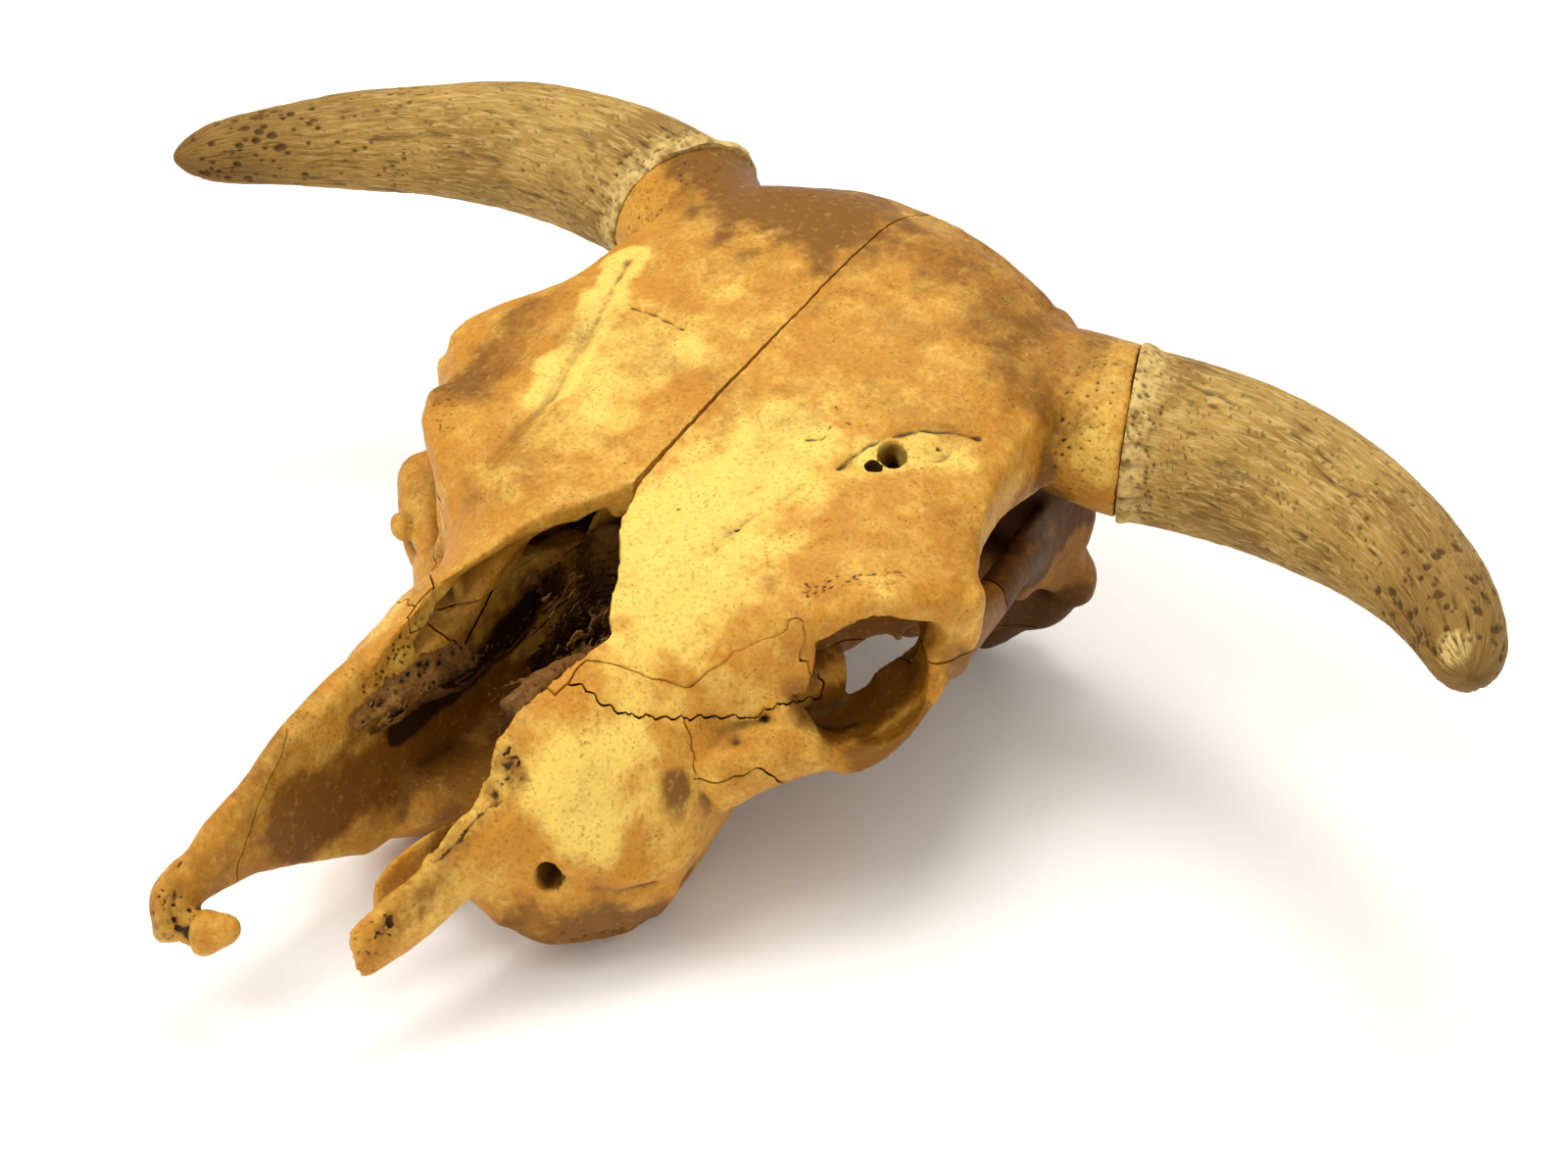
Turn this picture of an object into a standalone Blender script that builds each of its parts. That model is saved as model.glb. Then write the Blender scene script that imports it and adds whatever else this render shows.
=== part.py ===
"""Skull of a young domestic cow, life size, lying on its upper cheeks and the back of its head.

The skull is drawn in millimetres: x to the animal's left, y towards the poll, z up, with the
root of the nose on the midline at x = 0, y = 0, and the resting plane at z = 0.  The blank is
made whole from lofts, tubes and knobs, hollowed where the real skull is open, and then parted
along its sutures with thin gaps, so that each bone is a solid of its own.  At the end the
drawing is turned to metres and moved so that its origin is the centre of its footprint.
"""

import math
from dataclasses import dataclass

import bmesh
import bpy
import numpy as np
from mathutils import Matrix, Vector

MM = 0.001
GAP = 0.35                     # width of an open suture between two bones
NEEDLE = 0.02                  # faces thinner than this are melted away
FLATNESS = 0.4                 # faces that bend less than this many degrees are joined
BLANK_VOXEL = 3.0              # grain of the welded blank
BLANK_SMOOTHING = 8            # passes that melt the forms into each other
CAVITY_VOXEL = 2.5             # grain of the openings
CAVITY_SMOOTHING = 2           # passes that ease the edges of the openings
SKULL_TRIANGLES = 3820         # triangles kept in the whole skull without its horns
LEAF_VOXEL = 1.5               # grain of the thin leaves in the nose
LEAF_CLEARANCE = 1.6           # space between those leaves and the walls
RING_POINTS = 40               # points round each section of a loft
HORN_RINGS = 16                # sections along a horn core
HORN_SIDES = 16                # sides of each section
HORN_TIP = 0.9                 # share of the length where the tip starts to close
LEFT, RIGHT = 1, -1
TWIST = 0.08                   # drop of the left side of the cranium for each mm out
MUZZLE_LEAN = 8                # how far the muzzle swings to the right
ORBIT_AXIS = (0.78, -0.62, 0)  # way the left orbit looks
RIM_RADIUS = 13                # half width of the bony ring round the orbit
RIM_INSET = 11                 # how far inside the rim's edge that ring is drawn
ORBIT_CENTRE = (106, 8, 110)
ORBIT_RADII = (45, 25, 29)
CAST_WIDTH = 60                # half width of the tools that square the horn roots
CAST_DEPTH = 80                # how far those tools reach out
FLOOR_SPAN = 400               # half width of the tool that levels the feet
FLOOR_DEPTH = 60
BONE_ROUGHNESS = 0.6
RIGHT_SWELL = ((-120, 0), (-100, -8), (-60, -15), (-30, -13), (-5, 0), (10, -2), (25, -3),
               (38, 2), (50, 12), (60, 16), (72, 17), (95, 9), (125, 2), (140, 0))
                               # at each y, how much farther out the right side stands
LINED_VOXEL = 2.0              # grain of the skull once the walls inside its openings stand
LINED_SMOOTHING = 2
ORBIT_DIP = ((-19, 0), (-8, 9), (60, 15), (100, 0))   # drop of the frontal bone in the orbit
SOCKET_WALL = 4.5              # thickness of the floor of the orbit
SOCKET_MIDDLE = (112, 4, 110)
SOCKET = (                     # outer and inner edge of the floor and back of the orbit
    ((129, 26, 137), (110, 39, 124)), ((131, 30, 121), (110, 39, 114)),
    ((130, 29, 105), (110, 38, 105)), ((128, 15, 93), (101, 27, 95)),
    ((122, 0, 84), (98, 23, 87)), ((113, -8, 78), (93, 17, 84)),
    ((104, -15, 80), (88, 10, 83)), ((96, -18, 88), (81, 2, 84)),
)


# ---------------------------------------------------------------- sizes ----

@dataclass(frozen=True)
class RoofStation:
    """One cross-section of the forehead: height on the midline and at the edge."""

    y: float
    half_width: float
    crown: float               # height of the midline
    edge: float                # height of the side edge
    depth: float               # thickness at the side edge
    fullness: float            # power of the fall from midline to edge


ROOF = (
    RoofStation(-74, 40, 131, 123, 12, 2.0),
    RoofStation(-50, 66, 140, 112, 16, 1.8),
    RoofStation(-35, 80, 145, 119, 16, 2.0),
    RoofStation(-22, 97, 148, 136, 16, 2.6),
    RoofStation(-8, 109, 150, 142, 16, 2.8),
    RoofStation(6, 119, 153, 146, 16, 2.8),
    RoofStation(24, 132, 160, 143, 18, 2.8),
    RoofStation(44, 132, 168, 146, 20, 3.0),
    RoofStation(68, 120, 176, 154, 26, 3.0),
    RoofStation(100, 110, 185, 164, 40, 3.0),
    RoofStation(135, 107, 196, 175, 54, 3.0),
    RoofStation(170, 102, 203, 178, 64, 2.6),
    RoofStation(192, 90, 199, 172, 58, 2.2),
    RoofStation(205, 76, 191, 168, 48, 2.0),
)


@dataclass(frozen=True)
class FaceStation:
    """Half of one cross-section of the face: (x, z) at the height of each named line."""

    y: float
    nasal: tuple               # edge that carried the nasal bone
    cheek: tuple               # middle of the side wall
    crest: tuple               # facial crest and tuberosity
    socket_outer: tuple        # outer edge of the tooth sockets
    socket_inner: tuple        # inner edge of the tooth sockets
    palate: float              # height of the palate


FACE = (
    FaceStation(-130, (34, 66), (41, 60), (44, 52), (42, 38), (33, 39), 48),
    FaceStation(-118, (35, 88), (50, 76), (57, 56), (54, 24), (37, 26), 45),
    FaceStation(-108, (37, 110), (59, 86), (67, 56), (58, 17), (38, 19), 43),
    FaceStation(-90, (40, 117), (66, 90), (76, 50), (57, 9), (39, 10), 42),
    FaceStation(-68, (43, 124), (73, 94), (80, 40), (58, 2), (41, 3), 40),
    FaceStation(-45, (60, 114), (78, 92), (78, 54), (58, 2), (42, 3), 40),
    FaceStation(-22, (70, 110), (82, 94), (78, 70), (58, 14), (43, 14), 40),
    FaceStation(0, (58, 104), (64, 88), (66, 70), (58, 28), (44, 28), 40),
    FaceStation(22, (48, 104), (50, 86), (54, 66), (52, 40), (42, 36), 40),
    FaceStation(48, (45, 104), (46, 88), (46, 70), (42, 50), (36, 46), 50),
)


@dataclass(frozen=True)
class Horn:
    """One horn core: where it leaves the forehead, how it turns and how thick it is."""

    name: str
    base: tuple
    burr: tuple                # way the burr faces: degrees back from straight out, and up
    heading: tuple             # degrees back from straight out, near the base and at the tip
    rise: tuple                # degrees above level, near the base, halfway and at the tip
    length: float
    girth: tuple               # radius at each quarter of the length


HORNS = (
    Horn("horn_core_left", (122, 173, 145), (24, 0), (1.2, -63), (9, 7.5, 6), 250,
         (36.5, 32.5, 27, 20, 12.5)),
    Horn("horn_core_right", (-123, 184, 166), (22, 14), (9.4, -74.6), (9.5, -3, 5), 261,
         (36.5, 32.5, 27, 20.5, 10)),
)


COLOURS = {                    # linear colour of each kind of bone, by the start of its name
    "frontal": (0.60, 0.36, 0.13), "lacrimal": (0.62, 0.39, 0.16), "maxilla": (0.60, 0.37, 0.13),
    "premaxilla": (0.55, 0.33, 0.13), "zygomatic": (0.54, 0.30, 0.09),
    "temporal": (0.42, 0.23, 0.08), "horn_core": (0.34, 0.22, 0.10),
    "occipital": (0.45, 0.26, 0.10), "braincase": (0.36, 0.20, 0.08),
    "concha": (0.48, 0.31, 0.15), "ethmoid": (0.20, 0.12, 0.06),
}
SHARP_ANGLE = 40               # edges steeper than this stay crisp


# ------------------------------------------------------------- geometry ----

def smoothstep(low, high, value):
    """Ease from 0 at low to 1 at high."""
    share = min(max((value - low) / (high - low), 0.0), 1.0)
    return share * share * (3 - 2 * share)


def closed_curve(corners, count):
    """Return count points along a smooth closed curve through the corners."""
    total = len(corners)
    points = []
    for index in range(count):
        place = index * total / count
        start = int(place)
        t = place - start
        p0, p1, p2, p3 = (corners[(start + k) % total] for k in (-1, 0, 1, 2))
        points.append(0.5 * (2 * p1 + (p2 - p0) * t + (2 * p0 - 5 * p1 + 4 * p2 - p3) * t * t
                             + (3 * p1 - 3 * p2 + p3 - p0) * t ** 3))
    return points


def loft(bm, rings):
    """Join rings of equal count into one closed tube with flat ends."""
    loops = []
    for ring in rings:
        verts = [bm.verts.new(point) for point in ring]
        loops.append(verts)
    count = len(loops[0])
    for near, far in zip(loops, loops[1:]):
        for index in range(count):
            after = (index + 1) % count
            bm.faces.new((near[index], near[after], far[after], far[index]))
    bm.faces.new(loops[0][::-1])
    bm.faces.new(loops[-1])


def tube(bm, points, radii, flatten=1.0, across=Vector((1, 0, 0)), sides=16):
    """Sweep a round, or flattened, section along the points."""
    points = [Vector(point) for point in points]
    rings = []
    for index, point in enumerate(points):
        before = points[max(index - 1, 0)]
        after = points[min(index + 1, len(points) - 1)]
        along = (after - before).normalized()
        side = (across - along * across.dot(along)).normalized()
        up = along.cross(side)
        radius = radii[index]
        rings.append([point + side * math.cos(a) * radius + up * math.sin(a) * radius * flatten
                      for a in (2 * math.pi * k / sides for k in range(sides))])
    loft(bm, rings)


def knob(bm, centre, radii, turn=(0, 0, 0)):
    """Add one ellipsoid."""
    matrix = Matrix.Translation(centre)
    for angle, axis in zip(turn, "XYZ"):
        matrix = matrix @ Matrix.Rotation(math.radians(angle), 4, axis)
    matrix = matrix @ Matrix.Diagonal((*radii, 1))
    bmesh.ops.create_icosphere(bm, subdivisions=3, radius=1, matrix=matrix)


def mesh_object(name, bm):
    """Close a bmesh into an object with its faces pointing out."""
    bmesh.ops.recalc_face_normals(bm, faces=bm.faces)
    mesh = bpy.data.meshes.new(name)
    bm.to_mesh(mesh)
    bm.free()
    obj = bpy.data.objects.new(name, mesh)
    bpy.context.scene.collection.objects.link(obj)
    return obj


def apply_modifiers(obj):
    """Replace the object's mesh with its evaluated mesh."""
    graph = bpy.context.evaluated_depsgraph_get()
    mesh = bpy.data.meshes.new_from_object(obj.evaluated_get(graph))
    obj.modifiers.clear()
    obj.data = mesh


def weld(obj, voxel, smoothing):
    """Melt overlapping shells into one skin and soften it."""
    remesh = obj.modifiers.new("weld", "REMESH")
    remesh.mode = "VOXEL"
    remesh.voxel_size = voxel
    soften = obj.modifiers.new("soften", "SMOOTH")
    soften.factor = 0.5
    soften.iterations = smoothing
    apply_modifiers(obj)


def boolean(obj, cutter, operation):
    """Apply one Boolean and drop the cutter."""
    cut = obj.modifiers.new("cut", "BOOLEAN")
    cut.operation = operation
    cut.solver = "EXACT"
    cut.object = cutter
    apply_modifiers(obj)


def close_up(obj, flatness=0):
    """Melt needle-thin and level faces away and close whatever pinhole they leave."""
    bm = bmesh.new()
    bm.from_mesh(obj.data)
    if flatness:
        bmesh.ops.dissolve_limit(bm, angle_limit=math.radians(flatness), verts=bm.verts,
                                 edges=bm.edges)
    for _ in range(3):
        bmesh.ops.dissolve_degenerate(bm, dist=NEEDLE, edges=bm.edges)
        bmesh.ops.triangulate(bm, faces=bm.faces)
        torn = [edge for edge in bm.edges if len(edge.link_faces) != 2]
        if not torn:
            break
        faces = list({face for edge in torn for face in edge.link_faces})
        bmesh.ops.delete(bm, geom=faces, context="FACES")
        loose = [vert for vert in bm.verts if not vert.link_faces]
        bmesh.ops.delete(bm, geom=loose, context="VERTS")
        bmesh.ops.holes_fill(bm, edges=bm.edges, sides=0)
    bm.to_mesh(obj.data)
    bm.free()


def mirrored(point):
    """Return the same point on the other side of the skull."""
    return Vector((-point[0], point[1], point[2]))


def on_both_sides(maker):
    """Call maker(side) for the left and the right."""
    for side in (LEFT, RIGHT):
        maker(side)


def sided(side, *points):
    """Move points given for the left side to the wanted side."""
    return [Vector((side * x, y, z)) for x, y, z in points]


# ---------------------------------------------------------------- forms ----

def add_roof(bm):
    """Forehead plate, from the edge of the nose to the poll."""
    rings = []
    half = RING_POINTS // 2
    for station in ROOF:
        fall = station.crown - station.edge
        ring = []
        for index in range(half + 1):
            u = math.cos(math.pi * index / half)
            z = station.crown - fall * abs(u) ** station.fullness
            ring.append(Vector((u * station.half_width, station.y, z)))
        for index in range(1, half):
            u = -math.cos(math.pi * index / half)
            z = station.edge - station.depth * (1 - 0.3 * abs(u) ** 4)
            ring.append(Vector((u * station.half_width, station.y, z)))
        rings.append(ring)
    loft(bm, rings)


def add_face(bm):
    """Cheeks, tooth sockets and palate."""
    rings = []
    for station in FACE:
        side = [station.nasal, station.cheek, station.crest,
                station.socket_outer, station.socket_inner]
        corners = [Vector((x, station.y, z)) for x, z in side]
        corners.append(Vector((0, station.y, station.palate)))
        corners += [mirrored(point) for point in corners[-2::-1]]
        corners.append(Vector((0, station.y, station.nasal[1] + 4)))
        rings.append(closed_curve(corners, RING_POINTS))
    loft(bm, rings)


def add_snout_bars(bm):
    """Toothless front of the left maxilla, and on the right the bones down to the muzzle."""
    tube(bm, sided(LEFT, (45, -106, 72), (41, -121, 66), (37, -138, 58), (34, -153, 51),
                   (31, -167, 47), (27, -183, 44)), (13, 11, 9, 9, 8.5, 8), flatten=1.55)
    plate = ((-100, 38, 26, 112), (-116, 36, 20, 109), (-130, 34, 27, 106), (-147, 32, 34, 102),
             (-160, 31, 41, 97), (-175, 31, 47, 88), (-190, 32, 49, 80), (-202, 35, 47, 68),
             (-210, 37, 42, 58))
    rings = []
    for y, x, low, high in plate:
        half = 7.5 if y < -185 else 6.5
        corners = [Vector((-x + sx * half, y, z)) for sx, z in
                   ((1, low + 8), (0.6, low), (-0.6, low), (-1, low + 8),
                    (-1, high - 10), (-0.4, high), (0.4, high), (1, high - 10))]
        rings.append(closed_curve(corners, RING_POINTS))
    loft(bm, rings)
    tube(bm, sided(RIGHT, (36, -198, 60), (38, -208, 50), (32, -212, 43)), (8, 9, 8.5))


def build_blank():
    """Weld every outer form of the skull, without its horn cores."""
    bm = bmesh.new()
    add_roof(bm)
    add_face(bm)
    add_snout_bars(bm)
    add_braincase(bm)
    on_both_sides(lambda side: add_side_forms(bm, side))
    blank = mesh_object("blank", bm)
    weld(blank, BLANK_VOXEL, BLANK_SMOOTHING)
    cutter = cavities()
    boolean(blank, cutter, "DIFFERENCE")
    discard(cutter)
    join(blank, linings())
    weld(blank, LINED_VOXEL, LINED_SMOOTHING)
    settle(blank)
    square_horn_roots(blank)
    decimate(blank, SKULL_TRIANGLES)
    level_feet(blank)
    close_up(blank)
    return blank


def nose_cavity(bm):
    """Nose passage: open in front where the nasal bones and the left premaxilla are lost."""
    passage = ((-250, 29, 26, -20, 200), (-180, 28, 24, -20, 200), (-150, 31, 25, -20, 200),
               (-112, 33, 29, -20, 200), (-104, 33, 30, 30, 200), (-98, 33, 31, 52, 200),
               (-76, 35, 35, 50, 200), (-50, 37, 37, 50, 122), (-20, 37, 37, 50, 132),
               (4, 34, 34, 54, 134), (18, 26, 26, 66, 122))
    rings = []
    for y, left, right, low, high in passage:
        corners = [Vector(p) for p in ((left, y, low + 14), (left * 0.7, y, low),
                                       (-right * 0.7, y, low), (-right, y, low + 14),
                                       (-right, y, high - 16), (-right * 0.6, y, high),
                                       (left * 0.6, y, high), (left, y, high - 16))]
        rings.append(closed_curve(corners, RING_POINTS))
    loft(bm, rings)


def nasal_notch(bm):
    """Bay between the foreheads where the two nasal bones were seated."""
    half = [(0, 4), (10, -20), (24, -38), (33, -53), (38, -72), (30, -90)]
    outline = half + [(-x, y) for x, y in reversed(half[1:])]
    verts = [bm.verts.new((x, y, 100)) for x, y in outline]
    face = bm.faces.new(verts)
    raised = bmesh.ops.extrude_face_region(bm, geom=[face])["geom"]
    lifted = [item for item in raised if isinstance(item, bmesh.types.BMVert)]
    bmesh.ops.translate(bm, verts=lifted, vec=(0, 0, 100))


def cavities():
    """Everything that is open in the real skull, as one cutter."""
    bm = bmesh.new()
    nose_cavity(bm)
    nasal_notch(bm)
    for side in (LEFT, RIGHT):
        turn = -math.degrees(math.atan2(-ORBIT_AXIS[1], ORBIT_AXIS[0])) * side
        x, y, z = ORBIT_CENTRE
        knob(bm, (side * x, y, z), ORBIT_RADII, turn=(0, 0, turn))
    tube(bm, ((0, 240, 86), (0, 198, 86), (0, 170, 90), (0, 140, 104)), (20, 19, 18, 24))
    cutter = mesh_object("cavities", bm)
    weld(cutter, CAVITY_VOXEL, CAVITY_SMOOTHING)
    return cutter


def settle(obj):
    """Give the skull its twist and lean, and its right side the width that it has.

    The left horn stands lower than the right one, and the muzzle turns to the right.
    """
    ys, swells = zip(*RIGHT_SWELL)
    for vert in obj.data.vertices:
        x, y, z = vert.co
        twist = TWIST * smoothstep(40, 180, y) * smoothstep(10, 70, z)
        lean = MUZZLE_LEAN * smoothstep(60, 150, -y)
        swell = np.interp(y, ys, swells) * smoothstep(45, 95, -x)
        vert.co = (x - lean - swell, y, z - twist * x)


def add_braincase(bm):
    """Braincase, nape plate and the skull base on the midline."""
    knob(bm, (0, 128, 118), (60, 88, 62))
    knob(bm, (0, 50, 98), (40, 80, 50))
    nape = ((55, 60, 160, 184), (78, 88, 160, 194), (108, 88, 160, 199), (140, 80, 160, 203),
            (162, 78, 165, 205), (174, 74, 168, 202))
    rings = []
    for z, half_width, front, back in nape:
        corners = [Vector(p) for p in ((half_width, front, z), (half_width, back - 8, z),
                                       (half_width * 0.45, back, z), (0, back - 2, z))]
        corners += [mirrored(point) for point in corners[-2::-1]]
        corners.append(Vector((0, front - 4, z)))
        rings.append(closed_curve(corners, RING_POINTS))
    loft(bm, rings)
    tube(bm, ((0, 196, 66), (0, 170, 58), (0, 135, 52), (0, 100, 56)), (22, 20, 18, 18), 0.7)


def linings():
    """Everything that stands inside the openings, so that it is drawn once those are cut."""
    bm = bmesh.new()
    on_both_sides(lambda side: add_orbit_walls(bm, side))
    tube(bm, sided(LEFT, (9, -86, 46), (10, -100, 45), (11.5, -112, 43), (12.5, -128, 41),
                   (13, -145, 42), (13, -155, 43)), (5, 9, 14, 17, 14, 8), 0.24,
         across=Vector((0, 0, 1)))
    tube(bm, sided(RIGHT, (38, -208, 50), (32, -212, 43), (23, -209, 43), (15, -204.5, 46),
                   (13, -203, 47)), (8, 9, 8.5, 7, 6.5))
    knob(bm, (-136, 14, 98), (8, 11, 9))
    knob(bm, (-124, -14, 89), (5, 6, 6))
    knob(bm, (-118, -10, 88), (7, 6, 7))
    return mesh_object("linings", bm)


def add_orbit_walls(bm, side):
    """Floor and back of one orbit, the plate over it, and the bulge and plate in its front."""
    middle = Vector((side * SOCKET_MIDDLE[0], *SOCKET_MIDDLE[1:]))
    rings = []
    for edges in SOCKET:
        outer, inner = sided(side, *edges)
        halfway = outer.lerp(inner, 0.5)
        away = (halfway - middle).normalized() * SOCKET_WALL
        sunk = away * 0.7
        rings.append([outer, halfway + sunk, inner, inner + sunk, halfway + sunk + away,
                      outer + away])
    loft(bm, rings)
    tube(bm, sided(side, (79, 6, 128), (80, 14, 122), (83, 25, 120), (90, 31, 124),
                   (98, 38, 124), (104, 45, 126), (110, 52, 131)),
         (9, 19, 21, 18, 17, 15, 13), 0.16, across=Vector((0, 0, 1)))
    tube(bm, sided(side, (72, -22, 94), (77, 0, 90), (80, 17, 87), (82, 22, 86)),
         (9, 9, 10, 8), 1.1)
    tube(bm, sided(side, (94, -19, 140), (94, -18, 124), (92, -20, 106)), (7, 7, 7), 0.5,
         across=Vector((side * 0.81, 0.585, 0)))
    tube(bm, sided(side, (44, -56, 104), (50, -28, 110), (54, 0, 114), (54, 30, 116)),
         (12, 17, 19, 17), 0.15, across=Vector((0, 0, 1)))


def add_side_forms(bm, side):
    """Everything that stands out on one side: orbit, arch, ear region, condyle, horn root."""
    inward = Vector((-side * ORBIT_AXIS[0], -ORBIT_AXIS[1], 0))
    rim = sided(side, (92, -25, 105), (91, -24, 118), (95, -19, 135), (107, -8, 141),
                (117, 5, 144), (125, 16, 142), (131, 24, 136), (133, 29, 121),
                (132, 27, 106), (132, 12, 94), (127, -4, 83), (118, -12, 76), (109, -19, 79),
                (101, -22, 88), (95, -25, 98))
    rim = closed_curve([point + inward * RIM_INSET for point in rim], RING_POINTS)
    tube(bm, rim + rim[:2], [RIM_RADIUS] * (RING_POINTS + 2), flatten=0.42, across=inward)
    tube(bm, sided(side, (76, -50, 72), (90, -32, 80), (106, -16, 82)), (15, 13, 9))
    tube(bm, sided(side, (58, -46, 98), (69, -29, 100), (80, -12, 108)), (14, 15, 15))
    tube(bm, sided(side, (127, 20, 106), (122, 44, 104), (116, 68, 100), (110, 92, 98),
                   (104, 122, 101), (99, 148, 96)), (8, 9, 8.5, 8, 7, 8), flatten=1.2)
    tube(bm, sided(side, (104, 112, 99), (97, 140, 97), (92, 168, 90), (94, 190, 78)),
         (8, 16, 23, 25), 0.3, across=Vector((0, 0, 1)))
    tube(bm, sided(side, (127, 38, 140), (126, 40, 118), (120, 42, 98)), (10, 9, 9), 1.3,
         across=Vector((0, 1, 0)))
    tube(bm, sided(side, (82, 188, 100), (85, 190, 78), (93, 190, 60), (96, 189, 47)),
         (9, 10, 13, 9))
    tube(bm, sided(side, (64, 186, 60), (66, 187, 38), (60, 186, 20), (53, 183, 2)),
         (22, 19, 14, 6), flatten=1.2)
    tube(bm, sided(side, (88, 188, 52), (80, 187, 37), (72, 186, 31)), (13, 13, 11))
    knob(bm, (side * 28, 200, 66), (19, 18, 26), turn=(-15, side * 15, 0))
    knob(bm, (side * 42, 146, 42), (14, 20, 18))
    tube(bm, sided(side, (60, 150, 74), (92, 158, 76)), (16, 12))
    tube(bm, sided(side, (22, 18, 44), (21, 40, 34), (22, 66, 36), (28, 96, 52)),
         (9, 8, 7, 12), flatten=2.2)
    horn = HORNS[0 if side == LEFT else 1]
    base = Vector(horn.base) + Vector((0, 0, TWIST * horn.base[0]))
    beyond = base + direction(side, horn.burr) * 12
    root = sided(side, (70, 160, 155), (98, 168, 155))
    tube(bm, root + [base, beyond], (34, 35, horn.girth[0], horn.girth[0]))


# ---------------------------------------------------------------- horns ----

def direction(side, angles):
    """Return the way that points out on one side, turned back and up by the degrees given."""
    back, up = (math.radians(angle) for angle in angles)
    return Vector((side * math.cos(back) * math.cos(up), math.sin(back) * math.cos(up),
                   math.sin(up)))


def horn_rings(horn):
    """Yield (centre, facing, radius) for each ring of a horn core from burr to tip."""
    side = LEFT if horn.base[0] > 0 else RIGHT
    facing_burr = direction(side, horn.burr)
    place = Vector(horn.base) + facing_burr * GAP
    for index in range(HORN_RINGS):
        share = index / (HORN_RINGS - 1)
        turn = np.interp(share, (0, 1), horn.heading)
        heading = direction(side, (turn, np.interp(share, (0, 0.5, 1), horn.rise)))
        facing = facing_burr.lerp(heading, smoothstep(0, 0.25, share)).normalized()
        quarter = min(int(share * 4), 3)
        radius = horn.girth[quarter] + (horn.girth[quarter + 1] - horn.girth[quarter]) * (
            share * 4 - quarter)
        blunt = max(share - HORN_TIP, 0) / (1 - HORN_TIP)
        yield place.copy(), facing, radius * max(math.sqrt(1 - blunt * blunt), 0.15)
        place += heading * (horn.length / (HORN_RINGS - 1))


def make_horn(horn):
    """Build one horn core, from its burr to its blunt tip."""
    bm = bmesh.new()
    rings = []
    for place, facing, radius in horn_rings(horn):
        side = Vector((0, 0, 1)).cross(facing).normalized()
        up = facing.cross(side)
        rings.append([place + (side * math.cos(a) + up * math.sin(a)) * radius
                      for a in (2 * math.pi * k / HORN_SIDES for k in range(HORN_SIDES))])
    loft(bm, rings)
    bmesh.ops.triangulate(bm, faces=bm.faces)
    return mesh_object(horn.name, bm)


# --------------------------------------------------------- inside the nose ----

def nose_leaf(name, maker, triangles):
    """Trim thin leaves to the nose passage and melt them into one body clear of its walls."""
    bm = bmesh.new()
    maker(bm)
    leaf = mesh_object(name, bm)
    weld(leaf, LEAF_VOXEL, 2)
    bm = bmesh.new()
    nose_cavity(bm)
    passage = mesh_object("passage", bm)
    weld(passage, CAVITY_VOXEL, CAVITY_SMOOTHING)
    shrunk = grown(passage, -LEAF_CLEARANCE)
    boolean(leaf, shrunk, "INTERSECT")
    discard(passage)
    discard(shrunk)
    decimate(leaf, triangles)
    keep_largest(leaf)
    settle(leaf)
    return leaf


def ethmoid_leaves(bm):
    """Plate at the back of the nose with upright leaves that stand forward from it."""
    leaf = ((6, 60), (6, 128), (-22, 128), (-33, 112), (-28, 88), (-36, 72), (-20, 58))
    for x in (-29, -18, -7, 7, 18, 29):
        half = 1.6
        near, far = ([bm.verts.new((x + s * half, y, z)) for y, z in leaf] for s in (-1, 1))
        bm.faces.new(near)
        bm.faces.new(far[::-1])
        bmesh.ops.bridge_loops(bm, edges=[e for e in bm.edges if e.is_boundary])
    plate = Matrix.Translation((0, 4, 92)) @ Matrix.Diagonal((66, 6, 76, 1))
    bmesh.ops.create_cube(bm, size=1, matrix=plate)


def concha(side, points, lean):
    """Return a maker for one strip of the scroll that hangs from the side wall of the nose."""
    def maker(bm):
        tube(bm, sided(side, *points), [11] * len(points), flatten=0.2,
             across=Vector((side * lean, 0, 1)))
    return maker


def fill_nose():
    """Build what is left of the scrolls and the ethmoid inside the nose."""
    left = concha(LEFT, ((27, -110, 108), (28, -88, 108), (30, -64, 106), (30, -42, 102)), -0.3)
    right = concha(RIGHT, ((25, -118, 92), (29, -96, 86), (31, -70, 78), (31, -44, 78)), -0.2)
    return [nose_leaf("concha_left", left, 130), nose_leaf("concha_right", right, 130),
            nose_leaf("ethmoid", ethmoid_leaves, 420)]


# -------------------------------------------------------------- parting ----

def prism(name, outline, push):
    """Close an outline of 3-D points into a solid by pushing it along a vector."""
    bm = bmesh.new()
    face = bm.faces.new([bm.verts.new(point) for point in outline])
    raised = bmesh.ops.extrude_face_region(bm, geom=[face])["geom"]
    lifted = [item for item in raised if isinstance(item, bmesh.types.BMVert)]
    bmesh.ops.translate(bm, verts=lifted, vec=push)
    bmesh.ops.triangulate(bm, faces=bm.faces)
    return mesh_object(name, bm)


def grown(obj, distance):
    """Copy a convex-cornered region with every face moved out by the distance."""
    bm = bmesh.new()
    bm.from_mesh(obj.data)
    bm.normal_update()
    moves = [(v, v.normal * distance * v.calc_shell_factor()) for v in bm.verts]
    for vert, move in moves:
        vert.co += move
    return mesh_object(obj.name + "_grown", bm)


def keep_largest(obj):
    """Drop every loose crumb but the largest body of the object."""
    bm = bmesh.new()
    bm.from_mesh(obj.data)
    left = set(bm.verts)
    bodies = []
    while left:
        stack = [left.pop()]
        body = list(stack)
        while stack:
            for edge in stack.pop().link_edges:
                for vert in edge.verts:
                    if vert in left:
                        left.remove(vert)
                        stack.append(vert)
                        body.append(vert)
        bodies.append(body)
    bodies.sort(key=len)
    crumbs = [vert for body in bodies[:-1] for vert in body]
    bmesh.ops.delete(bm, geom=crumbs, context="VERTS")
    bm.to_mesh(obj.data)
    bm.free()


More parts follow.
